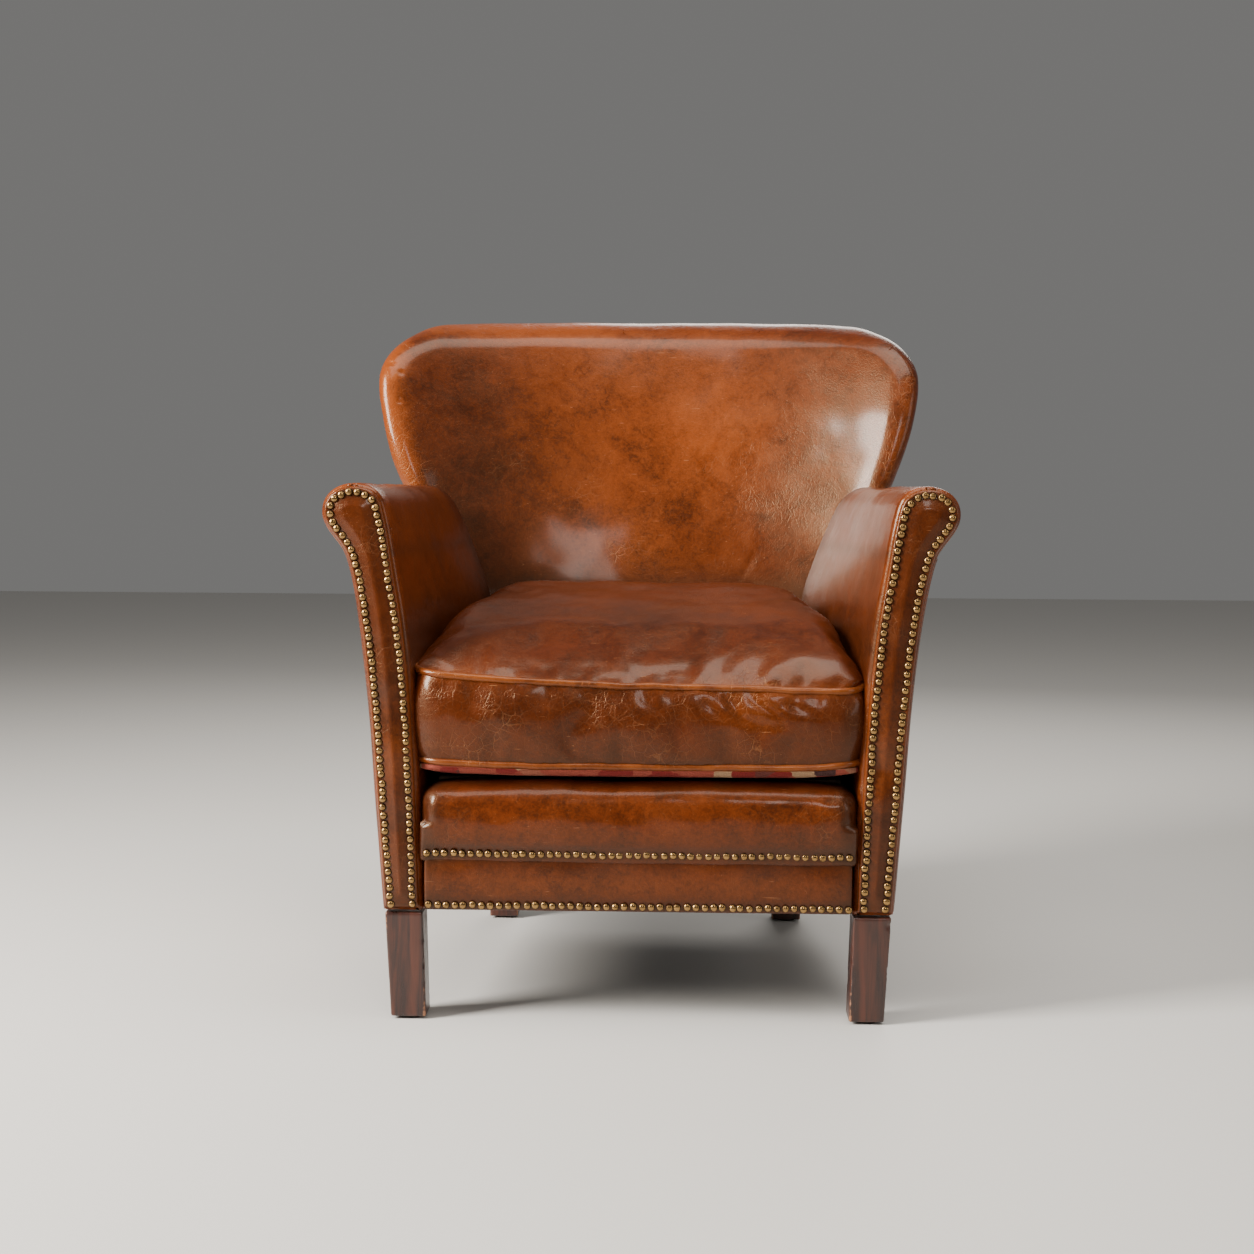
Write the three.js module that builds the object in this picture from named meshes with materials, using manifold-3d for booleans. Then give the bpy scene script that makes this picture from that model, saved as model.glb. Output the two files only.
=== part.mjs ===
// A worn leather club chair: hardwood frame, sprung deck, padded tub back, scroll arms and a loose cushion.
// Millimetres, +Z up. The front faces -Y and the origin is on the floor under the middle of the chair's box.
import * as THREE from 'three';
import { mergeVertices } from 'three/addons/utils/BufferGeometryUtils.js';
import Module from 'manifold-3d';

const wasm = await Module();
wasm.setup();

// Driving dimensions
const gap = 0.4; // clearance between pieces that touch
const leather = 3;
const frontY = -352; // front face of the arms and of the leather band
const bodyBottom = 124;
const lipTop = 266;
const armTop = 597;
const armEndY = 58; // where the inside arms meet the inside back
const cornerY = 178; // where the outside arms meet the outside back
const backTop = 827;
const deckTop = 271;

const leg = { height: 121, top: 42, foot: 39, spreadTop: 260, spreadFoot: 255 };
const rearLeg = { frontY: 169, spread: 195 };
const glide = { radius: 14, height: 3 };
const board = 24; // thickness of the frame timber
const rail = { bottom: 128, top: 214, frontHalf: 226, rearHalf: 168, frontY: -338, rearY: 196 };
const block = { size: 62, height: 38 };
const deckPad = { bottom: 232, cloth: 2 };
const dustCloth = { thickness: 2.6, edge: 12 };
const band = { half: 237, top: 187 };
const lip = { half: 236, depth: 58, round: 24, proud: 4, foot: 2 };
const facingDepth = 8;
const creaseZ = 522; // crease under the arm's scroll
const armPost = { depth: 38, top: 556, footX: 262, headX: 296 };
const armRest = { width: 42, thickness: 18, middleX: 310 }; // board on top of each arm post
const back = { thickness: 100, cover: 6, pad: 56, round: 36, panel: 3, panelTop: 811 };
const backPost = { inner: 206, outer: 240, bottom: 222, top: 742, depth: 28 };
const wing = { outer: 330, bottom: 330 };
const crossRailTop = 380;
const topRail = { half: 290, height: 30 };
const cushion = { bottom: 274, weltLow: 278, boxing: 286, weltHigh: 370, top: 378, crown: 470 };
const cushionEnds = { front: -350, rear: 96 };
const welt = { proud: 3 };
const nailStrip = { width: 9, height: 2.6 };
const spring = { count: 4, wire: 1.8, pitch: 101.5, swing: 36, waves: 7, rise: 8, overlap: 12 };

const colours = {
  leather: 0x8a431d,
  leatherDark: 0x6b3317,
  legWood: 0x3d1710,
  frameWood: 0xb98f5e,
  steel: 0x8d9094,
  brass: 0x7a6138,
  foam: 0xd9cda4,
  cloth: 0x1d1b1a,
  tapestry: 0x9c3a33,
  felt: 0x35302c,
};

function finish(colour, roughness, metalness = 0) {
  return new THREE.MeshStandardMaterial({ color: colour, roughness, metalness });
}

const chair = new THREE.Group();

function add(name, geometry, colour, roughness = 0.7, metalness = 0) {
  const mesh = new THREE.Mesh(geometry, finish(colour, roughness, metalness));
  mesh.name = name;
  chair.add(mesh);
  return mesh;
}

// Booleans
function toSolid(geometry) {
  const bare = geometry.clone();
  bare.deleteAttribute('normal');
  bare.deleteAttribute('uv');
  const merged = mergeVertices(bare, 1e-4);
  const vertProperties = new Float32Array(merged.attributes.position.array);
  const triVerts = new Uint32Array(merged.index.array);
  return new wasm.Manifold(new wasm.Mesh({ numProp: 3, vertProperties, triVerts }));
}

function toGeometry(solid) {
  const mesh = solid.getMesh();
  const geometry = new THREE.BufferGeometry();
  geometry.setAttribute('position', new THREE.BufferAttribute(new Float32Array(mesh.vertProperties), 3));
  geometry.setIndex(new THREE.BufferAttribute(new Uint32Array(mesh.triVerts), 1));
  return geometry;
}

function cut(geometry, ...tools) {
  let solid = toSolid(geometry);
  for (const tool of tools) {
    solid = solid.subtract(toSolid(tool));
  }
  return toGeometry(solid);
}

function common(first, second) {
  return toGeometry(toSolid(first).intersect(toSolid(second)));
}

// Shape helpers
function curve(pairs) {
  const places = pairs.map((pair) => pair[0]);
  const values = pairs.map((pair) => pair[1]);
  const interpolant = new THREE.LinearInterpolant(places, values, 1);
  return (place) => interpolant.evaluate(place)[0];
}

function moveVertices(geometry, place) {
  const position = geometry.attributes.position;
  const point = new THREE.Vector3();
  for (let i = 0; i < position.count; i += 1) {
    point.fromBufferAttribute(position, i);
    place(point);
    position.setXYZ(i, point.x, point.y, point.z);
  }
  return geometry;
}

function box(low, high) {
  const size = high.map((value, axis) => value - low[axis]);
  const geometry = new THREE.BoxGeometry(...size);
  geometry.translate(low[0] + size[0] / 2, low[1] + size[1] / 2, low[2] + size[2] / 2);
  return geometry;
}

// A block with rounded edges and a vertex grid that its padding can bend
function softBlock(low, high, grid, radius) {
  const half = high.map((value, axis) => (value - low[axis]) / 2);
  const geometry = new THREE.BoxGeometry(2, 2, 2, ...grid);
  const spread = (value) => Math.sign(value) * (1 - (1 - Math.abs(value)) ** 1.5);
  return moveVertices(geometry, (point) => {
    const full = new THREE.Vector3(
      spread(point.x) * half[0],
      spread(point.y) * half[1],
      spread(point.z) * half[2],
    );
    const core = new THREE.Vector3(...half).subScalar(radius);
    const inner = full.clone().clamp(core.clone().negate(), core);
    const away = full.clone().sub(inner);
    if (away.length() > radius) {
      away.setLength(radius);
    }
    point.copy(inner).add(away);
    point.x += low[0] + half[0];
    point.y += low[1] + half[1];
    point.z += low[2] + half[2];
  });
}

// Mirror copy, for the pieces that come in a left and a right
function mirrored(geometry) {
  const copy = geometry.index ? geometry.toNonIndexed() : geometry.clone();
  const position = copy.attributes.position;
  const first = new THREE.Vector3();
  const third = new THREE.Vector3();
  for (let i = 0; i < position.count; i += 3) {
    first.fromBufferAttribute(position, i);
    third.fromBufferAttribute(position, i + 2);
    position.setXYZ(i, -third.x, third.y, third.z);
    position.setX(i + 1, -position.getX(i + 1));
    position.setXYZ(i + 2, -first.x, first.y, first.z);
  }
  return copy;
}

// The pair is built on the right (+X) and mirrored to the left
function addPair(name, geometry, colour, roughness = 0.7, metalness = 0) {
  add(`${name}_right`, geometry, colour, roughness, metalness);
  add(`${name}_left`, mirrored(geometry), colour, roughness, metalness);
}

// A length of a section, extruded along +Y between two depths
function extrudeAlongY(shape, startY, endY, steps) {
  const geometry = new THREE.ExtrudeGeometry(shape, { depth: endY - startY, steps, bevelEnabled: false });
  geometry.rotateX(Math.PI / 2);
  geometry.translate(0, endY, 0);
  return geometry;
}

// A plan outline, extruded up between two heights
function extrudeUp(shape, bottom, top) {
  const geometry = new THREE.ExtrudeGeometry(shape, { depth: top - bottom, bevelEnabled: false });
  geometry.translate(0, 0, bottom);
  return geometry;
}

// Legs
function taperedLeg(spread, footSpread, startY) {
  const geometry = new THREE.BoxGeometry(leg.top, leg.top, leg.height - glide.height, 1, 1, 1);
  geometry.translate(0, startY + leg.top / 2, (leg.height + glide.height) / 2);
  return moveVertices(geometry, (point) => {
    const up = (point.z - glide.height) / (leg.height - glide.height);
    const size = THREE.MathUtils.lerp(leg.foot / leg.top, 1, up);
    const middleY = startY + leg.top / 2;
    point.x = point.x * size + THREE.MathUtils.lerp(footSpread, spread, up);
    point.y = middleY + (point.y - middleY) * size;
  });
}

function addLegs() {
  const pairs = [
    ['front_leg', leg.spreadTop, leg.spreadFoot, frontY + 2],
    ['rear_leg', rearLeg.spread, rearLeg.spread, rearLeg.frontY],
  ];
  for (const [name, spread, footSpread, startY] of pairs) {
    addPair(name, taperedLeg(spread, footSpread, startY), colours.legWood, 0.35);
    const pad = new THREE.CylinderGeometry(glide.radius, glide.radius, glide.height - gap, 20);
    pad.rotateX(Math.PI / 2);
    pad.translate(footSpread, startY + leg.top / 2, (glide.height - gap) / 2);
    addPair(`${name}_glide`, pad, colours.felt, 0.9);
  }
}

// Timber base
const sideOut = curve([[frontY, 279], [60, 245], [200, 224]]); // outside face of the body at its foot

function sideRailPlan(inset) {
  const outer = (y) => sideOut(y) - leather - 3 - inset;
  const start = rail.frontY + 2;
  const end = rail.rearY - 2;
  const plan = new THREE.Shape();
  plan.moveTo(outer(start), start);
  plan.lineTo(outer(60), 60);
  plan.lineTo(outer(end), end);
  plan.lineTo(outer(end) - board, end);
  plan.lineTo(outer(60) - board, 60);
  plan.lineTo(outer(start) - board, start);
  plan.closePath();
  return plan;
}

function addBase() {
  add('front_rail', box(
    [-rail.frontHalf, rail.frontY, rail.bottom],
    [rail.frontHalf, rail.frontY + board, rail.top],
  ), colours.frameWood);
  add('rear_rail', box(
    [-rail.rearHalf, rail.rearY - board, rail.bottom],
    [rail.rearHalf, rail.rearY, rail.top],
  ), colours.frameWood);
  addPair('side_rail', extrudeUp(sideRailPlan(0), rail.bottom, rail.top), colours.frameWood);

  const corners = [
    ['front_corner_block', rail.frontHalf - 6, rail.frontY + board + gap, 1],
    ['rear_corner_block', rail.rearHalf + 2, rail.rearY - board - gap, -1],
  ];
  for (const [name, x, y, inward] of corners) {
    const plan = new THREE.Shape();
    plan.moveTo(x, y);
    plan.lineTo(x, y + inward * block.size);
    plan.lineTo(x - block.size, y);
    plan.closePath();
    addPair(name, extrudeUp(plan, rail.bottom, rail.bottom + block.height), colours.frameWood);
  }
}

// Zigzag springs, one wire bent from side to side between the front and rear rails
class ZigzagCurve extends THREE.Curve {
  constructor(x) {
    super();
    this.x = x;
  }

  getPoint(t, target = new THREE.Vector3()) {
    const startY = rail.frontY + spring.overlap;
    const endY = rail.rearY - board + 4;
    const side = Math.sin(t * Math.PI * 2 * spring.waves) * spring.swing / 2;
    const rise = Math.sin(t * Math.PI) * spring.rise;
    const seat = rail.top + spring.wire + gap;
    return target.set(this.x + side, THREE.MathUtils.lerp(startY, endY, t), seat + rise);
  }
}

function addSprings() {
  const wire = new THREE.Shape();
  wire.absarc(0, 0, spring.wire, 0, Math.PI * 2);
  for (let i = 0; i < spring.count; i += 1) {
    const x = (i - (spring.count - 1) / 2) * spring.pitch;
    const geometry = new THREE.ExtrudeGeometry(wire, {
      steps: spring.waves * 6,
      curveSegments: 3,
      extrudePath: new ZigzagCurve(x),
    });
    add(`zigzag_spring_${i + 1}`, geometry, colours.steel, 0.4, 1);
  }
}

// Plan of the deck, which narrows to the rear between the arms
function deckPlan(inset, front, rear) {
  const narrow = curve([[frontY, 236], [armEndY, 196], [rear, 186]]);
  const plan = new THREE.Shape();
  plan.moveTo(-narrow(front) + inset, front);
  plan.lineTo(narrow(front) - inset, front);
  plan.lineTo(narrow(armEndY) - inset, armEndY);
  plan.lineTo(narrow(rear) - inset, rear);
  plan.lineTo(-narrow(rear) + inset, rear);
  plan.lineTo(-narrow(armEndY) + inset, armEndY);
  plan.closePath();
  return plan;
}

function addDeck() {
  const front = frontY + lip.depth + 2;
  const rear = armEndY + 50;
  const padTop = deckTop - deckPad.cloth;
  const pad = extrudeUp(deckPlan(2, front, rear), deckPad.bottom, padTop - gap);
  add('deck_pad', pad, colours.foam, 0.9);
  add('deck_cloth', extrudeUp(deckPlan(0, front, rear + 2), padTop, deckTop), colours.cloth, 0.9);

  const plan = new THREE.Shape();
  const edge = dustCloth.edge;
  const rearY = rail.rearY + 6;
  plan.moveTo(-sideOut(frontY) + edge, frontY + edge);
  plan.lineTo(sideOut(frontY) - edge, frontY + edge);
  plan.lineTo(sideOut(60) - edge, 60);
  plan.lineTo(sideOut(rearY) - edge, rearY);
  plan.lineTo(-sideOut(rearY) + edge, rearY);
  plan.lineTo(-sideOut(60) + edge, 60);
  plan.closePath();
  const top = rail.bottom - gap;
  add('dust_cloth', extrudeUp(plan, top - dustCloth.thickness, top), colours.cloth, 0.95);
}

// Front band and padded lip
const lipReach = 60; // how far the padding's form runs on past the leather, below and behind

function lipForm(inset, reach) {
  return softBlock(
    [-lip.half + inset, frontY - lip.proud + inset, band.top + lip.foot - reach],
    [lip.half - inset, frontY + lip.depth + reach, lipTop - inset],
    [6, 3, 4],
    lip.round - inset,
  );
}

function addFront() {
  const bandFront = box([-band.half, frontY, bodyBottom], [band.half, frontY + leather, band.top]);
  add('front_band', bandFront, colours.leather, 0.45);

  const room = box([-300, frontY - 60, band.top + gap], [300, frontY + lip.depth, lipTop + 50]);
  const cover = common(cut(lipForm(0, lipReach), lipForm(leather, lipReach)), room);
  add('front_lip_cover', cover, colours.leather, 0.45);

  const railClear = box(
    [-rail.frontHalf - gap, rail.frontY - gap, rail.bottom],
    [rail.frontHalf + gap, rail.frontY + board + gap, rail.top + gap],
  );
  const springClear = box([-260, rail.frontY - gap, 150], [260, frontY + 200, rail.top + 14]);
  const pad = common(lipForm(leather + gap, lipReach), room);
  add('front_lip_pad', cut(pad, railClear, springClear), colours.foam, 0.9);
}

// Arms: one section, drawn at the front and leaned inwards towards the back
const armInner = curve([[124, 239], [300, 246], [400, 251], [470, 262], [560, 277], [600, 284]]);
const armOuter = curve([[124, 284], [300, 297], [430, 310], [500, 320], [540, 339], [566, 351], [600, 330]]);
const armLean = curve([[124, 18], [460, 25], [590, -3], [600, -3]]);

function armOutline() {
  const outline = new THREE.Shape();
  outline.moveTo(239, bodyBottom);
  outline.bezierCurveTo(244, 260, 247, 380, 262, 470);
  outline.bezierCurveTo(270, 515, 273, 545, 280, 572);
  outline.bezierCurveTo(284, 589, 298, armTop, 314, armTop);
  outline.bezierCurveTo(336, armTop, 351, 584, 351, 566);
  outline.bezierCurveTo(351, 549, 338, 539, 328, 523);
  outline.bezierCurveTo(314, 497, 303, 390, 298, 320);
  outline.bezierCurveTo(294, 260, 288, 170, 284, bodyBottom);
  outline.closePath();
  return outline.getPoints(4).slice(0, -1);
}

// The outline moved inwards by the same distance all round
function insetOutline(points, distance) {
  return points.map((point, i) => {
    const before = points[(i + points.length - 1) % points.length];
    const after = points[(i + 1) % points.length];
    const along = after.clone().sub(before).normalize();
    return new THREE.Vector2(point.x + along.y * distance, point.y - along.x * distance);
  });
}

function leanArm(point) {
  const back = (point.y - frontY) / (armEndY - frontY);
  const across = (armOuter(point.z) - point.x) / (armOuter(point.z) - armInner(point.z));
  const inward = 27 + armLean(point.z) * THREE.MathUtils.clamp(across, 0, 1);
  point.x -= inward * back;
}

const armPoints = armOutline();

function armForm(inset, startY, endY) {
  const shape = new THREE.Shape(insetOutline(armPoints, inset));
  return moveVertices(extrudeAlongY(shape, startY, endY, 4), leanArm);
}

// The side of the section that lies outside the arm post, below the scroll's crease
function outerSide(grow) {
  const side = new THREE.Shape();
  side.moveTo(262 - grow, bodyBottom - 20);
  side.lineTo(274 - grow, 400);
  side.lineTo(300 - grow, creaseZ + grow);
  side.lineTo(420, creaseZ + grow);
  side.lineTo(420, bodyBottom - 20);
  side.closePath();
  return moveVertices(extrudeAlongY(side, frontY - 30, cornerY + 60, 4), leanArm);
}

// A timber that leans outwards with the arm, from the rail up to a height
function leaningPost(width, depth, bottom, top, startY) {
  const geometry = new THREE.BoxGeometry(width, depth, top - bottom);
  geometry.translate(0, startY + depth / 2, (top + bottom) / 2);
  return moveVertices(geometry, (point) => {
    point.x += THREE.MathUtils.mapLinear(point.z, rail.top, armPost.top, armPost.footX, armPost.headX);
  });
}

function armBoard(grow, startY, endY) {
  const width = armRest.width + 2 * grow;
  const height = armRest.thickness + 2 * grow;
  const middleZ = armPost.top + armRest.thickness / 2 + gap;
  const geometry = new THREE.BoxGeometry(width, endY - startY, height, 1, 3, 1);
  geometry.translate(armRest.middleX, (startY + endY) / 2, middleZ);
  return moveVertices(geometry, leanArm);
}

function addArms() {
  const startY = frontY + facingDepth + gap;
  const hollow = armForm(leather, startY - 40, cornerY + 40);
  const openFoot = hollow.clone().translate(0, 0, -2 * leather);
  const shell = cut(armForm(0, startY, armEndY), hollow, openFoot);
  const belowDeck = box([100, frontY - 20, bodyBottom - 20], [420, armEndY + 60, deckTop - 30]);
  addPair('arm_cover', cut(shell, outerSide(gap), belowDeck), colours.leather, 0.45);
  const longShell = cut(armForm(0, startY, cornerY), hollow, openFoot);
  addPair('outside_arm', common(longShell, outerSide(0)), colours.leather, 0.45);
  addPair('arm_facing', armForm(1, frontY, frontY + facingDepth), colours.leather, 0.45);

  const postY = startY + 2;
  const postFoot = rail.top + gap;
  const timber = leaningPost(board, armPost.depth, postFoot, armPost.top, postY);
  addPair('arm_post', timber, colours.frameWood);
  addPair('arm_board', armBoard(0, postY, armEndY - 2), colours.frameWood);

  const clearPost = leaningPost(board + 2, armPost.depth + 62, 100, armPost.top + 10, postY - 61);
  const clearBoard = armBoard(1, startY - 60, armEndY + 60);
  const belowPad = box([100, frontY - 20, 0], [420, armEndY + 60, deckTop - 20]);
  const padBody = armForm(leather + gap, startY + gap, armEndY - gap);
  addPair('arm_pad', cut(padBody, clearBoard, clearPost, belowPad), colours.foam, 0.9);
}

// Back: an upright wall whose wings come forward round the sitter
const backHalf = curve([
  [124, 246], [284, 252], [460, 271], [560, 295], [597, 317], [640, 338], [690, 352],
  [740, 358], [770, 352], [790, 339], [806, 312], [816, 275], [822, 232], [827, 170],
]);
const insideMiddle = curve([[124, 100], [460, 118], [600, 156], [700, 188], [800, 228], [827, 244]]);
const insideWing = curve([[124, 84], [300, 82], [460, 66], [597, 62], [700, 78], [800, 122], [827, 146]]);
const outsideMiddle = curve([[124, 214], [460, 268], [600, 298], [700, 328], [791, 357.6], [827, 360]]);
const outsideWing = curve([
  [124, 188], [460, 184], [540, 176], [597, 160], [700, 164], [800, 206], [827, 226],
]);
const outsidePower = curve([[124, 6], [460, 3.4], [827, 2.5]]);

function bendBack(point) {
  const half = backHalf(point.z);
  const across = Math.min(Math.abs(point.x) / backHalf(740), 1);
  const inside = THREE.MathUtils.lerp(insideMiddle(point.z), insideWing(point.z), across ** 2.2);
  const power = outsidePower(point.z);
  const outside = THREE.MathUtils.lerp(outsideMiddle(point.z), outsideWing(point.z), across ** power);
  point.x *= half / backHalf(740);
  point.y = THREE.MathUtils.lerp(inside, outside, point.y / back.thickness);
}

// The wall in layers: depth 0 is its inside face and back.thickness its outside face
function backForm(inset, front, rear, bottom) {
  const reach = backHalf(740);
  const block = softBlock(
    [-reach + inset, front, bottom],
    [reach - inset, rear, backTop - inset],
    [12, 2, 10],
    back.round,
  );
  return moveVertices(block, bendBack);
}

function backBoard(low, high, across, up) {
  const size = high.map((value, axis) => value - low[axis]);
  const geometry = new THREE.BoxGeometry(...size, across, 1, up);
  geometry.translate(low[0] + size[0] / 2, low[1] + size[1] / 2, low[2] + size[2] / 2);
  return moveVertices(geometry, bendBack);
}

function addBack() {
  const low = deckTop + 13;
  const reach = 60; // how far the forms run on past the leather, below and behind
  const rear = back.thickness + reach;
  const hollow = backForm(back.cover, back.cover, rear, low - reach);
  const wholeForm = backForm(0, 0, rear, low - reach);
  const panelDepth = back.thickness - back.panel;
  const coverLayer = backBoard([-360, -10, low], [360, panelDepth - 11, backTop + 20], 14, 16);
  const cover = common(cut(wholeForm, hollow), coverLayer);
  add('inside_back_cover', cover, colours.leather, 0.45);

  const padInset = back.cover + gap;
  const padding = backForm(padInset, padInset, rear, low - reach);
  const padLayer = backBoard([-380, -10, low], [380, back.pad, backTop], 14, 10);
  add('back_pad', common(padding, padLayer), colours.foam, 0.9);

  const timber = { front: back.pad + 4, rear: back.pad + 4 + backPost.depth };
  addPair('back_post', backBoard(
    [backPost.inner, timber.front, backPost.bottom],
    [backPost.outer, timber.rear, backPost.top],
    2, 9,
  ), colours.frameWood);
  addPair('back_wing_board', backBoard(
    [backPost.outer + 2, timber.front, wing.bottom],
    [wing.outer, timber.rear, backPost.top],
    3, 8,
  ), colours.frameWood);
  add('top_rail', backBoard(
    [-topRail.half, timber.front, backPost.top + gap],
    [topRail.half, timber.rear, backPost.top + topRail.height],
    14, 1,
  ), colours.frameWood);
  add('back_cross_rail', backBoard(
    [-backPost.inner + gap, timber.front, wing.bottom],
    [backPost.inner - gap, timber.rear, crossRailTop],
    8, 1,
  ), colours.frameWood);

  const panelHalf = backHalf(740) - 5;
  add('outside_back_panel', backBoard(
    [-panelHalf, panelDepth, rail.bottom],
    [panelHalf, back.thickness, back.panelTop],
    14, 16,
  ), colours.leather, 0.45);
}

// Loose seat cushion
const cushionHalf = curve([
  [-350, 230], [-342, 235], [-322, 237], [armEndY, 191], [76, 178], [88, 150], [96, 110],
]);

// A slab of the cushion's plan; its top and its underside can each be domed
function cushionForm(inset, bottom, top, topRise = 0, bottomRise = 0) {
  const length = cushionEnds.rear - cushionEnds.front;
  const middle = (cushionEnds.rear + cushionEnds.front) / 2;
  const spread = (value) => Math.sign(value) * (1 - (1 - Math.abs(value)) ** 1.7);
  return moveVertices(new THREE.BoxGeometry(2, 2, 2, 10, 10, 1), (point) => {
    const across = spread(point.x);
    const along = spread(point.y);
    const y = middle + along * length / 2;
    const dome = (1 - Math.abs(across) ** 2.6) * (1 - Math.abs(along) ** 3);
    point.x = across * (cushionHalf(y) - inset);
    point.y = middle + along * (length / 2 - inset);
    point.z = point.z > 0 ? top + topRise * dome : bottom + bottomRise * dome;
  });
}

function cushionRing(outer, inner, bottom, top) {
  return cut(cushionForm(outer, bottom, top), cushionForm(inner, bottom - 10, top + 10));
}

function addCushion() {
  const rise = cushion.crown - cushion.top - leather;
  const top = cushion.top + gap;
  add('cushion_top_panel', cushionForm(0, top, top + leather, rise, rise), colours.leather, 0.4);
  add('cushion_welt_top', cushionRing(
    -welt.proud, leather, cushion.weltHigh + gap, cushion.top,
  ), colours.leatherDark, 0.45);
  const boxing = cushionRing(0, leather, cushion.boxing + gap, cushion.weltHigh);
  add('cushion_boxing', boxing, colours.leather, 0.4);
  add('cushion_welt_bottom', cushionRing(
    -welt.proud, leather, cushion.weltLow + gap, cushion.boxing,
  ), colours.leatherDark, 0.45);
  add('cushion_underside', cushionForm(0, cushion.bottom, cushion.weltLow), colours.tapestry, 0.9);
  add('cushion_fill', cushionForm(
    leather + gap, cushion.weltLow + gap, cushion.top - leather, rise - leather,
  ), colours.foam, 0.9);
}

// Rows of dome-headed upholstery nails, one strip for each row
function addNailTrims() {
  const startY = frontY - gap - nailStrip.height;
  const outer = new THREE.Shape(insetOutline(armPoints, 3));
  const inner = new THREE.Shape(insetOutline(armPoints, 3 + nailStrip.width));
  const foot = box([200, frontY - 40, bodyBottom - 10], [320, frontY + 40, bodyBottom + 14]);
  addPair('arm_nail_trim', cut(
    extrudeAlongY(outer, startY, frontY - gap, 1),
    extrudeAlongY(inner, startY - 10, frontY + 10, 1),
    foot,
  ), colours.brass, 0.35, 1);

  const lipFront = frontY - 4 - gap;
  const half = lip.half - 4;
  add('lip_nail_trim', box(
    [-half, lipFront - nailStrip.height, band.top + 2],
    [half, lipFront, band.top + 2 + nailStrip.width],
  ), colours.brass, 0.35, 1);
  add('band_nail_trim', box(
    [-half, startY, bodyBottom + 2],
    [half, frontY - gap, bodyBottom + 2 + nailStrip.width],
  ), colours.brass, 0.35, 1);
}

addLegs();
addBase();
addSprings();
addDeck();
addFront();
addArms();
addBack();
addCushion();
addNailTrims();

export default chair;
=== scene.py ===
# A worn leather club chair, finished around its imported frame. Metres, +Z up; the front faces -Y.
import math
import random

import bmesh
import bpy
from mathutils import Matrix, Vector, noise
from mathutils.kdtree import KDTree


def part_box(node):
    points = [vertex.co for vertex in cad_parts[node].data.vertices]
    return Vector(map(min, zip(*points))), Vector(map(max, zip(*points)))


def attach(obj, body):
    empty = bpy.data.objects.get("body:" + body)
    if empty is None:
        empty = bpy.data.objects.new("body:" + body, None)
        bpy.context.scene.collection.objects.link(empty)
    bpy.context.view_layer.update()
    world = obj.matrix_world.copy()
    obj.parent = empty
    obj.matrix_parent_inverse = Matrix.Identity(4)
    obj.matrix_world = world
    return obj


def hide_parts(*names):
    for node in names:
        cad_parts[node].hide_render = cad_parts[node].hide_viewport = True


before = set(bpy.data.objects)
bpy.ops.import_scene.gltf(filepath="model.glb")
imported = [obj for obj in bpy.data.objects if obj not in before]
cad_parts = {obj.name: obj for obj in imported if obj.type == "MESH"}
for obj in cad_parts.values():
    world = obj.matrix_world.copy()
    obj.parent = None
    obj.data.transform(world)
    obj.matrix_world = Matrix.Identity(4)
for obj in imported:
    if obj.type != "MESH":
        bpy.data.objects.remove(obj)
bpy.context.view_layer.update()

# Camera
# It stands two metres in front of the chair with its lens level with the arms, turned a little to the
# left and tipped down.
camera_data = bpy.data.cameras.new("camera")
camera_data.lens = 55.1
camera = bpy.data.objects.new("camera", camera_data)
camera.matrix_world = (
    Matrix.Translation((0.041, -2.451, 0.582))
    @ Matrix.Rotation(math.radians(1.485), 4, "Z")
    @ Matrix.Rotation(math.radians(90 - 3.838), 4, "X")
    @ Matrix.Rotation(math.radians(0.369), 4, "Z")
)
bpy.context.scene.collection.objects.link(camera)
bpy.context.scene.camera = camera

# Studio
# A plain pale floor, a dim even sky, and large soft lamps: one high on the left that shines on the
# right wing, a small one above the lens, one overhead, a weak fill from the right and one behind.
FLOOR_TONE = (0.62, 0.60, 0.57, 1)
LAMP_TONE = (1, 0.96, 0.9)

world = bpy.data.worlds.new("studio")
world.use_nodes = True
world.node_tree.nodes["Background"].inputs["Color"].default_value = (0.80, 0.79, 0.77, 1)
world.node_tree.nodes["Background"].inputs["Strength"].default_value = 0.22
bpy.context.scene.world = world


def new_object(name, bm, smooth=True):
    mesh = bpy.data.meshes.new(name)
    bm.normal_update()
    bm.to_mesh(mesh)
    bm.free()
    mesh.polygons.foreach_set("use_smooth", [smooth] * len(mesh.polygons))
    piece = bpy.data.objects.new(name, mesh)
    bpy.context.scene.collection.objects.link(piece)
    return piece


def softbox(name, place, target, size, watts):
    data = bpy.data.lights.new(name, "AREA")
    data.shape = "RECTANGLE"
    data.size, data.size_y = size
    data.energy = watts
    data.color = LAMP_TONE
    lamp = bpy.data.objects.new(name, data)
    aim = Vector(target) - Vector(place)
    lamp.matrix_world = Matrix.Translation(place) @ aim.to_track_quat("-Z", "Y").to_matrix().to_4x4()
    bpy.context.scene.collection.objects.link(lamp)


softbox("key_left", (-2.2, -1.25, 1.75), (0.1, 0, 0.6), (0.85, 1.5), 235)
softbox("front_low", (0.50, -2.5, 1.80), (0, 0, 0.45), (0.42, 0.62), 10)
softbox("overhead", (0.2, -0.5, 3.1), (0, -0.1, 0.45), (2.6, 1.6), 75)
softbox("fill_right", (2.6, -1.2, 1.3), (0, 0, 0.5), (1.0, 1.6), 14)
softbox("rear_rim", (0.6, 2.6, 2.0), (0, 0, 0.6), (1.6, 1.0), 26)

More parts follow.
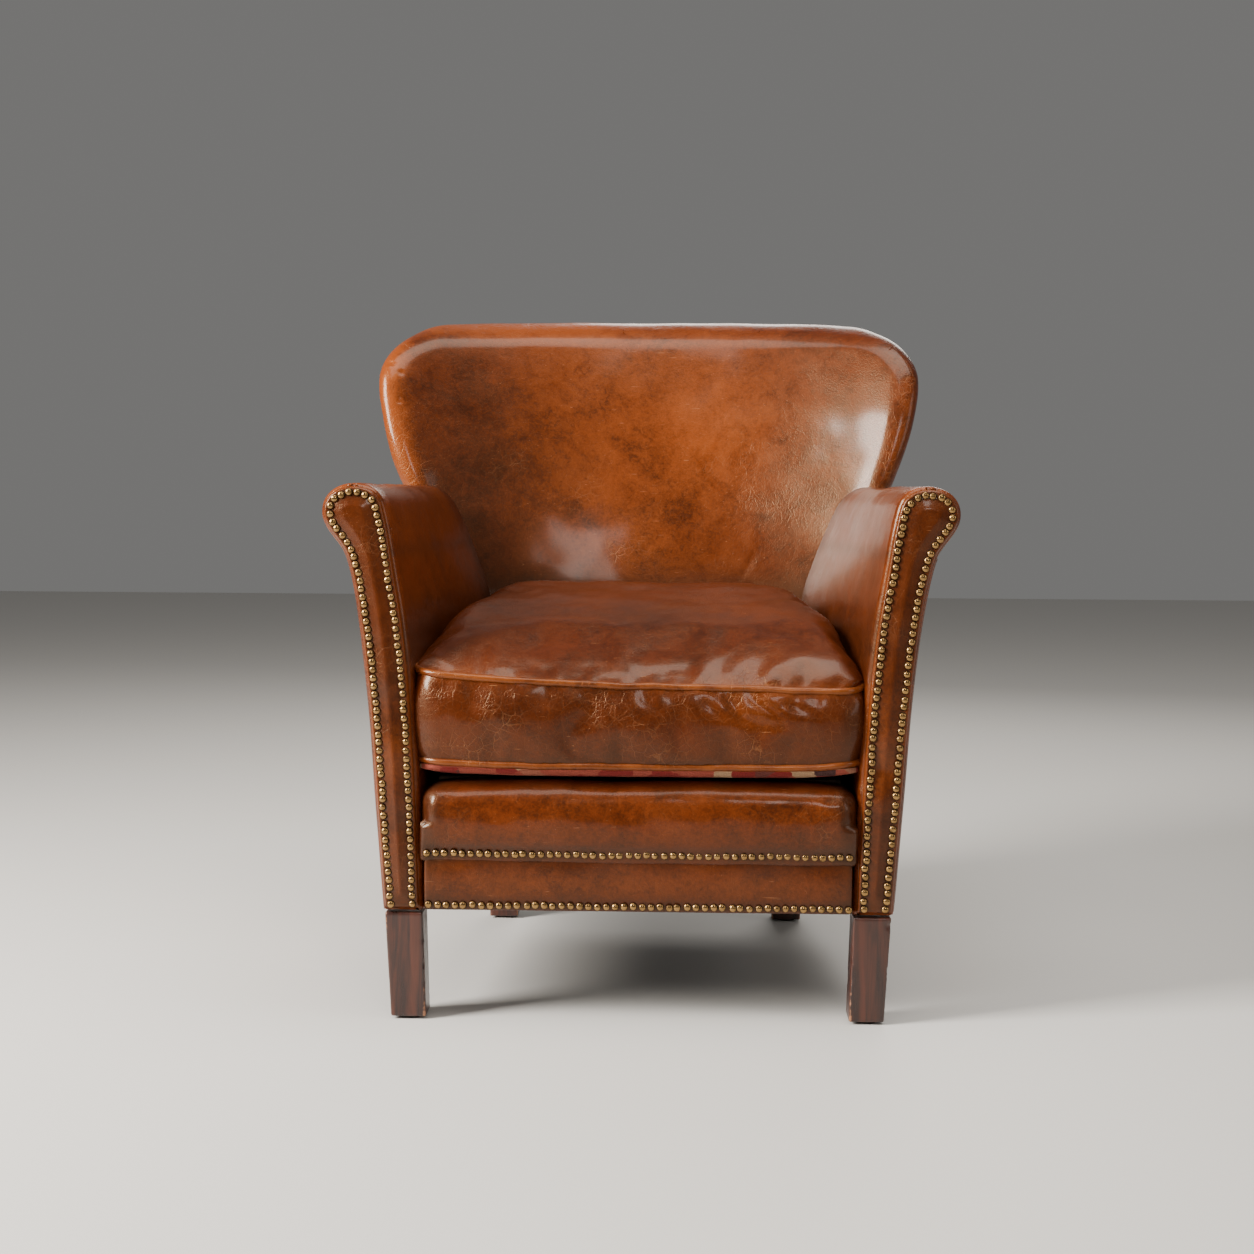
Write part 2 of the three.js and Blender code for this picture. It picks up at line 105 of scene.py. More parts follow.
floor_bm = bmesh.new()
bmesh.ops.create_grid(floor_bm, x_segments=1, y_segments=1, size=9)
floor = new_object("floor", floor_bm, smooth=False)
floor_finish = bpy.data.materials.new("floor_finish")
floor_finish.use_nodes = True
floor_shader = floor_finish.node_tree.nodes["Principled BSDF"]
floor_shader.inputs["Base Color"].default_value = FLOOR_TONE
floor_shader.inputs["Roughness"].default_value = 0.55
floor.data.materials.append(floor_finish)

# Legs and glides
# Four square tapered legs in red-brown stained hardwood, screwed up into the corner blocks, their
# corners knocked and rubbed pale. A disc of dense felt is nailed under each foot.
WOOD_DARK = (0.019, 0.0048, 0.0026, 1)
WOOD_MID = (0.072, 0.0165, 0.0070, 1)
WOOD_RUBBED = (0.30, 0.13, 0.060, 1)


class Nodes:
    """Short hand for building a node tree: nodes are made, set and linked in one call each."""

    def __init__(self, tree):
        self.tree = tree

    def add(self, kind, operation=None, **settings):
        node = self.tree.nodes.new("ShaderNode" + kind)
        if operation:
            node.operation = operation
        for key, value in settings.items():
            setattr(node, key, value)
        return node

    def feed(self, node, socket, source):
        if isinstance(source, bpy.types.NodeSocket):
            self.tree.links.new(source, node.inputs[socket])
        else:
            node.inputs[socket].default_value = source

    def math(self, operation, first, second=0.0, clamp=False):
        node = self.add("Math", operation, use_clamp=clamp)
        self.feed(node, 0, first)
        self.feed(node, 1, second)
        return node.outputs[0]

    def times(self, first, second, clamp=False):
        return self.math("MULTIPLY", first, second, clamp)

    def plus(self, first, second):
        return self.math("ADD", first, second)

    def ramp(self, value, low, high, to_low=0.0, to_high=1.0):
        node = self.add("MapRange", interpolation_type="SMOOTHSTEP")
        for socket, source in enumerate((value, low, high, to_low, to_high)):
            self.feed(node, socket, source)
        return node.outputs[0]

    def mix(self, factor, first, second, blend="MIX"):
        node = self.add("Mix", data_type="RGBA", blend_type=blend)
        self.feed(node, "Factor", factor)
        self.feed(node, 6, first)
        self.feed(node, 7, second)
        return node.outputs[2]

    def noise(self, place, scale, detail=3.0, roughness=0.55, distortion=0.0):
        node = self.add("TexNoise")
        self.feed(node, "Vector", place)
        for socket, value in zip(("Scale", "Detail", "Roughness", "Distortion"),
                                 (scale, detail, roughness, distortion)):
            self.feed(node, socket, value)
        return node.outputs["Fac"]

    def cells(self, place, scale, feature="F1", randomness=1.0):
        node = self.add("TexVoronoi", feature=feature)
        self.feed(node, "Vector", place)
        self.feed(node, "Scale", scale)
        self.feed(node, "Randomness", randomness)
        return node.outputs["Distance"]

    def stretched(self, place, scale, turn=(0.0, 0.0, 0.0)):
        node = self.add("Mapping")
        for socket, source in (("Vector", place), ("Rotation", turn), ("Scale", scale)):
            self.feed(node, socket, source)
        return node.outputs[0]

    def weighted(self, *terms):
        """The sum of (value, weight) pairs."""
        total = None
        for value, weight in terms:
            part = value if weight == 1 else self.times(value, weight)
            total = part if total is None else self.plus(total, part)
        return total

    def mask(self, name):
        return self.add("Attribute", attribute_name=name).outputs["Fac"]


def new_group(name, inputs, outputs):
    """An empty node group; inputs and outputs are (name, kind, value) with kind Float, Vector or Color."""
    group = bpy.data.node_groups.new(name, "ShaderNodeTree")
    for label, kind, value in inputs:
        socket = group.interface.new_socket(label, in_out="INPUT", socket_type="NodeSocket" + kind)
        if value is not None:
            socket.default_value = value
    for label, kind in outputs:
        group.interface.new_socket(label, in_out="OUTPUT", socket_type="NodeSocket" + kind)
    source, sink = group.nodes.new("NodeGroupInput"), group.nodes.new("NodeGroupOutput")
    return group, Nodes(group), source.outputs, sink


def new_material(name):
    material = bpy.data.materials.new(name)
    material.use_nodes = True
    nodes = Nodes(material.node_tree)
    shader = material.node_tree.nodes["Principled BSDF"]
    place = nodes.add("TexCoord").outputs["Object"]
    return material, nodes, shader, place


def bump(nodes, shader, height, distance, strength):
    node = nodes.add("Bump")
    for socket, source in (("Strength", strength), ("Distance", distance), ("Height", height)):
        nodes.feed(node, socket, source)
    nodes.feed(shader, "Normal", node.outputs[0])


def wood_material():
    material, nodes, shader, place = new_material("stained_wood")
    along = nodes.stretched(place, (1.0, 1.0, 0.07))
    rings = nodes.noise(along, 85.0, 5.0, 0.6, 0.6)
    pores = nodes.noise(nodes.stretched(place, (1.0, 1.0, 0.03)), 620.0, 2.0, 0.6)
    stain = nodes.mix(nodes.ramp(rings, 0.38, 0.66), WOOD_DARK, WOOD_MID)
    chips = nodes.noise(place, 260.0, 4.0, 0.7)
    bare = nodes.ramp(nodes.weighted((nodes.mask("wear"), 1), (chips, 0.9)), 1.0, 1.16)
    nodes.feed(shader, "Base Color", nodes.mix(bare, stain, WOOD_RUBBED))
    nodes.feed(shader, "Roughness", nodes.ramp(nodes.weighted((bare, 1), (rings, 1)), 0.3, 1.1, 0.26, 0.62))
    nodes.feed(shader, "Coat Weight", 0.25)
    nodes.feed(shader, "Coat Roughness", 0.25)
    bump(nodes, shader, nodes.weighted((pores, 0.6), (rings, 1), (bare, -1)), 0.0005, 0.5)
    return material


def set_marks(piece, **marks):
    """Stores masks for the piece's material to read, each a function of a vertex's place."""
    for name, amount in marks.items():
        layer = piece.data.attributes.new(name, "FLOAT", "POINT")
        layer.data.foreach_set("value", [amount(vertex.co) for vertex in piece.data.vertices])


def finish_piece(piece, material, slot, *nodes):
    piece.data.materials.append(material)
    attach(piece, "root")
    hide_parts(*nodes)


stained_wood = wood_material()


def make_leg(node):
    """A tapered square block inside the node's box, its corners rounded and nibbled."""
    low, high = (Vector(corner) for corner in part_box(node))
    node_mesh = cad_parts[node].data
    foot = [v.co for v in node_mesh.vertices if v.co.z < (low.z + high.z) / 2]
    head = [v.co for v in node_mesh.vertices if v.co.z > (low.z + high.z) / 2]
    bm = bmesh.new()
    bmesh.ops.create_cube(bm, size=1)
    for vertex in bm.verts:
        ring = head if vertex.co.z > 0 else foot
        x, y = ((max if vertex.co[axis] > 0 else min)(point[axis] for point in ring) for axis in (0, 1))
        vertex.co = Vector((x, y, high.z if vertex.co.z > 0 else low.z))
    bmesh.ops.bevel(bm, geom=bm.edges[:], offset=0.0022, segments=3, profile=0.5,
                    affect="EDGES", material=-1)
    upright = [e for e in bm.edges if abs(e.verts[0].co.z - e.verts[1].co.z) > 0.05]
    bmesh.ops.subdivide_edges(bm, edges=upright, cuts=40, use_grid_fill=True)
    level = [e for e in bm.edges if abs(e.verts[0].co.z - e.verts[1].co.z) < 0.0005
             and e.calc_length() > 0.02]
    bmesh.ops.subdivide_edges(bm, edges=level, cuts=10, use_grid_fill=True)
    centre, half = (low + high) / 2, (high - low) / 2

    def corner(co):
        away = sorted((abs(co.x - centre.x) / half.x, abs(co.y - centre.y) / half.y))
        return max(0.0, min(1.0, (away[0] - 0.72) / 0.2))

    for vertex in bm.verts:
        nick = noise.noise(vertex.co * 95) + 0.5 * noise.noise(vertex.co * 230)
        depth = max(0.0, nick - 0.28) * 0.004 * corner(vertex.co)
        inward = Vector((centre.x - vertex.co.x, centre.y - vertex.co.y, 0))
        vertex.co += inward.normalized() * depth
    piece = new_object("stained_" + node, bm)
    foot_z = low.z + 0.012
    set_marks(piece, wear=lambda co: min(1.0, corner(co) * 0.62 + max(0.0, foot_z - co.z) * 22))
    finish_piece(piece, stained_wood, "leg_wood", node)


def felt_material():
    material, nodes, shader, place = new_material("felt")
    fibre = nodes.noise(place, 900.0, 4.0, 0.7)
    nodes.feed(shader, "Base Color", nodes.mix(fibre, (0.018, 0.015, 0.013, 1), (0.075, 0.062, 0.05, 1)))
    nodes.feed(shader, "Roughness", 0.95)
    bump(nodes, shader, fibre, 0.0006, 0.7)
    return material


def make_glide(node, felt):
    low, high = (Vector(corner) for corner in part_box(node))
    bm = bmesh.new()
    bmesh.ops.create_cone(bm, cap_ends=True, segments=40, radius1=(high.x - low.x) / 2,
                          radius2=(high.x - low.x) / 2, depth=high.z - low.z)
    bmesh.ops.translate(bm, verts=bm.verts[:], vec=(low + high) / 2)
    rims = [e for e in bm.edges if abs(e.verts[0].co.z - e.verts[1].co.z) < 1e-5]
    bmesh.ops.bevel(bm, geom=rims, offset=0.0008, segments=2, profile=0.5, affect="EDGES", material=-1)
    piece = new_object("felt_" + node, bm)
    finish_piece(piece, felt, "glide_felt", node)


felt = felt_material()
for end in ("front", "rear"):
    for side in ("left", "right"):
        make_leg(f"{end}_leg_{side}")
        make_glide(f"{end}_leg_glide_{side}", felt)


# Inside back
# One hide stretched over foam and wadding on the curved back rails, pulled round the rim and tacked
# behind it. Its wings come forward beside the sitter and it is pleated where it turns the shoulders.
LEATHER_DEEP = (0.030, 0.0046, 0.0008, 1)
LEATHER_BROWN = (0.088, 0.0138, 0.0014, 1)
LEATHER_TAN = (0.190, 0.037, 0.0040, 1)
LEATHER_SCUFF = (0.50, 0.21, 0.075, 1)


def hide_group():
    """Waxed hide: cloudy dye, speckle, pores, fine creases and light scratches."""
    group, nodes, source, sink = new_group(
        "waxed_hide",
        [("Place", "Vector", None), ("Deep", "Color", LEATHER_DEEP), ("Brown", "Color", LEATHER_BROWN),
         ("Tan", "Color", LEATHER_TAN), ("Scuff", "Color", LEATHER_SCUFF), ("Rub", "Float", 0.0),
         ("GrimeAndShade", "Float", 0.0), ("Creased", "Float", 0.2)],
        [("Colour", "Color"), ("Roughness", "Float"), ("Height", "Float")],
    )
    place = source["Place"]
    cloud = nodes.noise(place, 6.5, 4.0, 0.6, 0.6)
    blotch = nodes.noise(place, 31.0, 5.0, 0.62, 0.9)
    speck = nodes.noise(place, 340.0, 3.0, 0.65)
    marble = nodes.noise(place, 105.0, 5.0, 0.70, 1.3)
    body = nodes.weighted((cloud, 0.32), (blotch, 0.24), (marble, 0.27), (speck, 0.17))
    tone = nodes.mix(nodes.ramp(body, 0.36, 0.56), source["Deep"], source["Brown"])
    warm = nodes.ramp(nodes.weighted((body, 1), (source["Rub"], 0.42)), 0.52, 0.92)
    tone = nodes.mix(warm, tone, source["Tan"])

    # cracks follow the edges of warped cells, finer ones inside wider ones
    warp = nodes.noise(place, 60.0, 3.0, 0.6)
    shifted = nodes.add("VectorMath", "MULTIPLY_ADD")
    for socket, value in enumerate((warp, (0.006, 0.009, 0.007), place)):
        nodes.feed(shifted, socket, value)
    wide = nodes.cells(shifted.outputs[0], 75.0, "DISTANCE_TO_EDGE")
    fine = nodes.cells(shifted.outputs[0], 230.0, "DISTANCE_TO_EDGE")
    wide_line = nodes.ramp(wide, 0.0, 0.06, 1.0, 0.0)
    fine_line = nodes.ramp(fine, 0.0, 0.10, 1.0, 0.0)
    worn_patch = nodes.ramp(nodes.noise(place, 14.0, 3.0, 0.6), 0.45, 0.70)
    spread = nodes.times(source["Creased"], nodes.plus(worn_patch, 0.25), clamp=True)
    cracks = nodes.times(nodes.weighted((wide_line, 0.9), (fine_line, 0.45)), spread)

    # scratches are short streaks of stretched noise in two directions
    streaks = None
    for turn, long_way, level in (((0.2, 0.5, 0.9), (28.0, 900.0, 700.0), 0.735),
                                  ((1.1, -0.4, -0.6), (760.0, 34.0, 900.0), 0.74)):
        streak = nodes.noise(nodes.stretched(place, long_way, turn), 1.0, 1.0, 0.5)
        mark = nodes.ramp(streak, level, level + 0.05)
        streaks = mark if streaks is None else nodes.math("MAXIMUM", streaks, mark)
    scuffs = nodes.times(streaks, nodes.ramp(blotch, 0.40, 0.62))
    light = nodes.weighted((scuffs, 0.34), (cracks, 0.13))
    tone = nodes.mix(nodes.math("MINIMUM", light, 0.8), tone, source["Scuff"])
    # darkens towards near-black by the piece's darkening mask: partly grime, partly painted shade in seams,
    # joins and under overhangs
    tone = nodes.mix(nodes.times(source["GrimeAndShade"], 0.85), tone, (0.020, 0.0055, 0.0022, 1))

    pores = nodes.cells(place, 620.0, "SMOOTH_F1")
    pebble = nodes.noise(place, 480.0, 3.0, 0.6)
    swell = nodes.times(blotch, nodes.plus(source["Creased"], 0.6))
    height = nodes.weighted((pores, 0.35), (pebble, 0.55), (cracks, -1.5), (scuffs, -0.5), (swell, 1.6))
    gloss = nodes.weighted((blotch, 0.24), (light, 0.30), (source["GrimeAndShade"], 0.12))
    nodes.feed(sink, "Colour", tone)
    nodes.feed(sink, "Roughness", nodes.plus(gloss, 0.205))
    nodes.feed(sink, "Height", height)
    return group


waxed_hide = hide_group()


def leather_material(name, deep=LEATHER_DEEP, brown=LEATHER_BROWN, tan=LEATHER_TAN, coat=0.28):
    """A finish on the hide group; reads the piece's own wear, creased and darkening attributes, the
    darkening being partly grime and partly painted shade.
    """
    material, nodes, shader, place = new_material(name)
    hide = nodes.tree.nodes.new("ShaderNodeGroup")
    hide.node_tree = waxed_hide
    nodes.feed(hide, "Place", place)
    for label, colour in (("Deep", deep), ("Brown", brown), ("Tan", tan)):
        nodes.feed(hide, label, colour)
    for label, attribute in (("Rub", "wear"), ("GrimeAndShade", "soil"), ("Creased", "creased")):
        nodes.feed(hide, label, nodes.mask(attribute))
    nodes.feed(shader, "Base Color", hide.outputs["Colour"])
    nodes.feed(shader, "Roughness", hide.outputs["Roughness"])
    nodes.feed(shader, "Coat Weight", coat)
    nodes.feed(shader, "Coat Roughness", 0.13)
    nodes.feed(shader, "Specular IOR Level", 0.36)
    nodes.feed(shader, "Specular Tint", (1.0, 0.62, 0.34, 1))
    bump(nodes, shader, hide.outputs["Height"], 0.0006, 0.55)
    return material


def curve(*pairs):
    """A smooth function through (place, value) pairs."""
    def slope(i):
        low, high = max(i - 1, 0), min(i + 1, len(pairs) - 1)
        return (pairs[high][1] - pairs[low][1]) / (pairs[high][0] - pairs[low][0])

    def value(place):
        place = min(max(place, pairs[0][0]), pairs[-1][0])
        i = next(k for k in range(len(pairs) - 1) if place <= pairs[k + 1][0])
        step = pairs[i + 1][0] - pairs[i][0]
        t = (place - pairs[i][0]) / step
        return (
            (2 * t**3 - 3 * t**2 + 1) * pairs[i][1] + (t**3 - 2 * t**2 + t) * step * slope(i)
            + (3 * t**2 - 2 * t**3) * pairs[i + 1][1] + (t**3 - t**2) * step * slope(i + 1)
        )
    return value


def lerp(a, b, t):
    return a + (b - a) * t


def clamp(value, low=0.0, high=1.0):
    return max(low, min(high, value))


def bell(distance, width):
    return math.exp(-((distance / width) ** 2))


def face_outward(bm):
    bmesh.ops.recalc_face_normals(bm, faces=bm.faces[:])


def gridded_block(cuts):
    """A cube of size 2 cut into a grid along X, Y and Z."""
    bm = bmesh.new()
    bmesh.ops.create_cube(bm, size=2)
    for axis, count in enumerate(cuts):
        along = [e for e in bm.edges if abs(e.verts[0].co[axis] - e.verts[1].co[axis]) > 0.5]
        bmesh.ops.subdivide_edges(bm, edges=along, cuts=count, use_grid_fill=True)
    return bm


def gathered(value, power=1.45):
    """Moves grid lines on -1..1 towards the two ends."""
    return math.copysign(1 - (1 - abs(value)) ** power, value)


def rounded(point, half, radius):
    """Rounds the edges of a box of the given half sizes."""
    core = [max(h - radius, 0.0) for h in half]
    inner = Vector([clamp(p, -c, c) for p, c in zip(point, core)])
    away = point - inner
    if away.length > radius:
        away.length = radius
    return inner + away


def fold(point, start, end, width, depth):
    """A crease from start to end: a groove with a soft ridge each side that dies out at its ends."""
    start, end = Vector(start), Vector(end)
    axis = end - start
    t = clamp((point - start).dot(axis) / axis.length_squared)
    s = (point - start - axis * t).length / width
    if s > 3:
        return 0.0
    fade = math.sin(math.pi * clamp(0.12 + 0.88 * t)) ** 0.7
    return -depth * fade * (1 - 0.9 * s * s) * math.exp(-s * s)


def rim_rounded(x, y, z, half, radius):
    """Rounds only the rim of a slab between its faces at -y and +y; x and z keep their square rings."""
    inset = min(half[0] - abs(x), half[2] - abs(z))
    over = abs(y) - (half[1] - radius)
    if inset < radius and over > 0:
        reach = math.hypot(radius - inset, over)
        if reach > radius:
            inset = radius - (radius - inset) * radius / reach
            y = math.copysign(half[1] - radius + over * radius / reach, y)
    limit_x, limit_z = half[0] - inset, half[2] - inset
    return Vector((clamp(x, -limit_x, limit_x), y, clamp(z, -limit_z, limit_z)))


BACK_HALF = 0.357
BACK_LOW, BACK_TOP = 0.262, 0.829
BACK_DEEP = 0.10
SHOULDER = 0.082
back_flare = curve((0.124, 0.692), (0.284, 0.714), (0.46, 0.773), (0.56, 0.852), (0.597, 0.905),
                   (0.62, 0.932), (0.643, 0.955), (0.683, 0.985), (0.72, 1.003), (0.75, 1.006),
                   (0.829, 1.0))
inside_middle = curve((0.262, 0.104), (0.46, 0.120), (0.60, 0.158), (0.70, 0.190), (0.79, 0.226),
                      (0.829, 0.244))
inside_wing = curve((0.262, 0.080), (0.46, 0.064), (0.597, 0.060), (0.70, 0.077), (0.79, 0.116),
                    (0.829, 0.144))
outside_middle = curve((0.124, 0.216), (0.46, 0.270), (0.60, 0.298), (0.70, 0.328), (0.79, 0.3565),
                       (0.829, 0.360))
outside_wing = curve((0.124, 0.188), (0.46, 0.184), (0.54, 0.176), (0.597, 0.162), (0.70, 0.166),
                     (0.80, 0.206), (0.829, 0.226))
outside_power = curve((0.124, 6.0), (0.46, 3.4), (0.829, 2.5))


def back_point(x, z, deep):
    """Bends a point of the flat back, deep in metres behind its inside face, into the chair's back."""
    over_x, over_z = abs(x) - (BACK_HALF - SHOULDER), z - (BACK_TOP - SHOULDER)
    if over_x > 0 and over_z > 0:
        shrink = max(over_x, over_z) / math.hypot(over_x, over_z)
        x = math.copysign(BACK_HALF - SHOULDER + over_x * shrink, x)
        z = BACK_TOP - SHOULDER + over_z * shrink
    across = min(abs(x) / BACK_HALF, 1.0)
    if z > 0.7:
        z -= 0.0115 * clamp((z - 0.7) / 0.12) * (across / 0.84) ** 3
    inside = lerp(inside_middle(z), inside_wing(z), across**2.2)
    outside = lerp(outside_middle(z), outside_wing(z), across ** outside_power(z))
    return Vector((x * back_flare(z), lerp(inside, outside, deep / BACK_DEEP), z))


BACK_FOLDS = [
    # start, end, width, depth: tucks round the left rim, then the right one
    ((-0.360, 0.13, 0.764), (-0.300, 0.10, 0.752), 0.0035, 0.0022),
    ((-0.360, 0.13, 0.751), (-0.292, 0.10, 0.742), 0.0030, 0.0018),
    ((-0.356, 0.11, 0.706), (-0.300, 0.09, 0.712), 0.0034, 0.0020),
    ((-0.352, 0.11, 0.690), (-0.306, 0.09, 0.699), 0.0030, 0.0016),
    ((-0.347, 0.11, 0.668), (-0.310, 0.09, 0.678), 0.0030, 0.0012),
    ((0.356, 0.12, 0.760), (0.315, 0.10, 0.752), 0.0032, 0.0015),
    ((0.350, 0.11, 0.680), (0.312, 0.09, 0.690), 0.0032, 0.0013),
    # pulls that fan out from the seams where the wings meet the arms
    ((0.262, 0.058, 0.584), (0.280, 0.068, 0.640), 0.0050, 0.0024),
    ((0.266, 0.058, 0.582), (0.300, 0.060, 0.622), 0.0050, 0.0022),
    ((0.258, 0.060, 0.586), (0.262, 0.074, 0.650), 0.0055, 0.0020),
    ((-0.262, 0.058, 0.592), (-0.284, 0.066, 0.640), 0.0050, 0.0020),
    ((-0.268, 0.058, 0.588), (-0.302, 0.060, 0.618), 0.0048, 0.0018),
    # a crease that rises from the seat
    ((0.120, 0.108, 0.470), (0.150, 0.118, 0.515), 0.0050, 0.0011),
]


def lumps(point, size, height, seed):
    """Soft unevenness of wadding under the leather."""
    return noise.noise(point / size + Vector((seed, seed * 0.7, -seed))) * height


def back_relief(point):
    relief = sum(fold(point, *crease) for crease in BACK_FOLDS)
    relief += lumps(point, 0.11, 0.0020, 3.1) + lumps(point, 0.042, 0.0006, 8.3)
    # the hide is drawn down into the seams at the arms
    for side in (-1, 1):
        seam = Vector((side * 0.262, 0.058, 0.590))
        relief -= 0.004 * bell((point - seam).length, 0.035)
    return relief


def displace(bm, relief):
    """Moves each vertex along its normal by relief(place)."""
    bm.normal_update()
    moves = [(v, v.normal * relief(v.co)) for v in bm.verts]
    for vertex, move in moves:
        vertex.co += move


def make_inside_back():
    bm = gridded_block((169, 9, 149))
    half = (BACK_HALF, BACK_DEEP / 2, (BACK_TOP - BACK_LOW) / 2)
    for vertex in bm.verts:
        x, y, z = vertex.co
        radius = 0.040 if y < 0.3 else 0.030
        flat = rim_rounded(gathered(x) * half[0], gathered(y, 1.2) * half[1], gathered(z) * half[2],
                           half, radius)
        vertex.co = back_point(flat.x, flat.z + BACK_LOW + half[2], flat.y + half[1])
    displace(bm, back_relief)
    piece = new_object("inside_back", bm)

    def rim(co):
        across = abs(co.x) / (BACK_HALF * back_flare(co.z))
        side = clamp((across - 0.86) / 0.10)
        top = clamp((co.z - 0.790) / 0.03)
        return max(side, top)

    def wear(co):
        centre = 0.30 * bell(math.hypot(co.x + 0.02, (co.z - 0.69) * 1.1), 0.20)
        lower = 0.35 * bell(math.hypot(co.x + 0.05, (co.z - 0.50) * 1.4), 0.085)
        right = 0.35 * bell(math.hypot(co.x - 0.10, co.z - 0.66), 0.09)
        left = 0.75 * clamp(-co.x / 0.2)
        return clamp((0.20 + left) * rim(co) + centre + lower + right)

    # Painted shade: a band where the cushion meets the back and spots in the seams where the wings meet the
    # arms; also a darker patch on the left
    def soil(co):
        seat = 0.75 * bell(co.z - 0.455, 0.030)
        left = 0.40 * bell(math.hypot(co.x + 0.22, (co.z - 0.60) * 0.8), 0.10)
        seams = sum(0.7 * bell((co - Vector((s * 0.262, 0.058, 0.588))).length, 0.020) for s in (-1, 1))
        return clamp(seat + left + seams)

    def creased(co):
        centre = 0.9 * bell(math.hypot(co.x + 0.045, (co.z - 0.50) * 1.3), 0.07)
        return clamp(0.10 + centre + 0.35 * rim(co) + 0.5 * bell(co.z - 0.60, 0.06) * clamp(abs(co.x) / 0.3))

    set_marks(piece, wear=wear, soil=soil, creased=creased)
    return piece


hide_finish = leather_material("back_leather")
finish_piece(make_inside_back(), hide_finish, "body_leather", "inside_back_cover", "back_pad")

# Outside back
# A flat hide laid over the back of the frame, its edge turned under and blind stitched just inside the
# rim. It runs down to the foot of the frame.
OUTSIDE_LOW = 0.126


def mirror_left(bm):
    bmesh.ops.scale(bm, verts=bm.verts[:], vec=(-1, 1, 1))
    bmesh.ops.reverse_faces(bm, faces=bm.faces[:])


def walled(name, bm, outward, thickness, side="right"):
    """Turns an open grid outward and gives it a wall on its inner face; returns it and its area."""
    face_outward(bm)
    if sum(face.normal.dot(Vector(outward)) for face in bm.faces) < 0:
        bmesh.ops.reverse_faces(bm, faces=bm.faces[:])
    if side == "left":
        mirror_left(bm)
    flat_area = sum(face.calc_area() for face in bm.faces)
    piece = new_object(name, bm)
    wall = piece.modifiers.new("wall", "SOLIDIFY")
    wall.thickness, wall.offset = thickness, -1.0
    return piece, flat_area


def make_outside_back():
    bm = bmesh.new()
    bmesh.ops.create_grid(bm, x_segments=90, y_segments=90, size=1)
    bmesh.ops.rotate(bm, verts=bm.verts[:], matrix=Matrix.Rotation(math.radians(90), 3, "X"))
    width, low, high = BACK_HALF - 0.016, OUTSIDE_LOW, BACK_TOP - 0.022
    for vertex in bm.verts:
        x, z = vertex.co.x * width, lerp(low, high, (vertex.co.z + 1) / 2)
        edge = min(1 - abs(vertex.co.x), (1 - vertex.co.z) if vertex.co.z > 0 else 1.0)
        tuck = 1 - clamp(edge / 0.035)
        vertex.co = back_point(x, z, BACK_DEEP + 0.0015)
        vertex.co.y += 0.0026 - 0.0045 * tuck * tuck + lumps(vertex.co, 0.16, 0.0018, 1.7)
    piece, flat_area = walled("outside_back", bm, (0, 1, 0), 0.004)
    # The darkening mask makes the outside back darker towards the bottom.
    set_marks(piece, wear=lambda co: 0.25 * clamp((co.z - 0.76) / 0.05) + 0.5 * bell(co.z - 0.128, 0.012),
              soil=lambda co: 0.35 * clamp((0.30 - co.z) / 0.18), creased=lambda co: 0.10)
    finish_piece(piece, hide_finish, "body_leather", "outside_back_panel")


make_outside_back()


# Arms
# Each arm is a hide wrapped over padding on a leaning post and an arm board: up the inside, over the
# top and down into a scroll that ends in a crease. Both arms lean together towards the back.
ARM_FRONT, ARM_END = -0.3490, 0.084
ARM_CREASE = 0.523
ARM_LEAN, LEAN_FROM, LEAN_OVER = 0.027, -0.352, 0.410
ARM_CURVES = (
    ((0.239, 0.124), (0.244, 0.260), (0.247, 0.380), (0.262, 0.470)),
    ((0.262, 0.470), (0.270, 0.515), (0.273, 0.545), (0.280, 0.572)),
    ((0.280, 0.572), (0.284, 0.589), (0.298, 0.597), (0.314, 0.597)),
    ((0.314, 0.597), (0.336, 0.597), (0.351, 0.584), (0.351, 0.566)),
    ((0.351, 0.566), (0.351, 0.549), (0.338, 0.539), (0.328, 0.523)),
    ((0.328, 0.523), (0.314, 0.497), (0.303, 0.390), (0.298, 0.320)),
    ((0.298, 0.320), (0.294, 0.260), (0.288, 0.170), (0.284, 0.124)),
)
arm_lean = curve((0.124, 0.018), (0.460, 0.025), (0.590, -0.003), (0.600, -0.003))
arm_inner = curve((0.124, 0.239), (0.300, 0.246), (0.400, 0.252), (0.470, 0.262), (0.560, 0.277),
                  (0.600, 0.284))
arm_outer = curve((0.124, 0.284), (0.170, 0.2875), (0.260, 0.2935), (0.320, 0.298), (0.390, 0.3045),
                  (0.460, 0.3125), (0.497, 0.3185), (0.523, 0.328), (0.545, 0.342), (0.566, 0.351),
                  (0.600, 0.330))


def bezier(points, t):
    a, b, c, d = (Vector(point) for point in points)
    u = 1 - t
    return a * u**3 + b * 3 * u * u * t + c * 3 * u * t * t + d * t**3


def resampled(points, spacing):
    """Points evenly spaced along a line, both ends kept."""
    lengths = [0.0]
    for before, after in zip(points, points[1:]):
        lengths.append(lengths[-1] + (after - before).length)
    count = max(2, round(lengths[-1] / spacing))
    result, i = [], 0
    for k in range(count + 1):
        want = lengths[-1] * k / count
        while i < len(points) - 2 and lengths[i + 1] < want:
            i += 1
        t = (want - lengths[i]) / (lengths[i + 1] - lengths[i])
        result.append(points[i].lerp(points[i + 1], clamp(t)))
    return result


def inset_line(points, distance):
    """Moves an open line to the right of its direction by distance."""
    result = []
    for i, point in enumerate(points):
        along = points[min(i + 1, len(points) - 1)] - points[max(i - 1, 0)]
        along.normalize()
        result.append(Vector((point.x + along.y * distance, point.y - along.x * distance)))
    return result


def arm_line(spacing):
    """The section's outline from the inside foot, over the scroll, to the outside foot."""
    points = [bezier(curve_points, k / 24) for curve_points in ARM_CURVES for k in range(24)]
    points.append(Vector(ARM_CURVES[-1][-1]))
    return resampled(points, spacing)


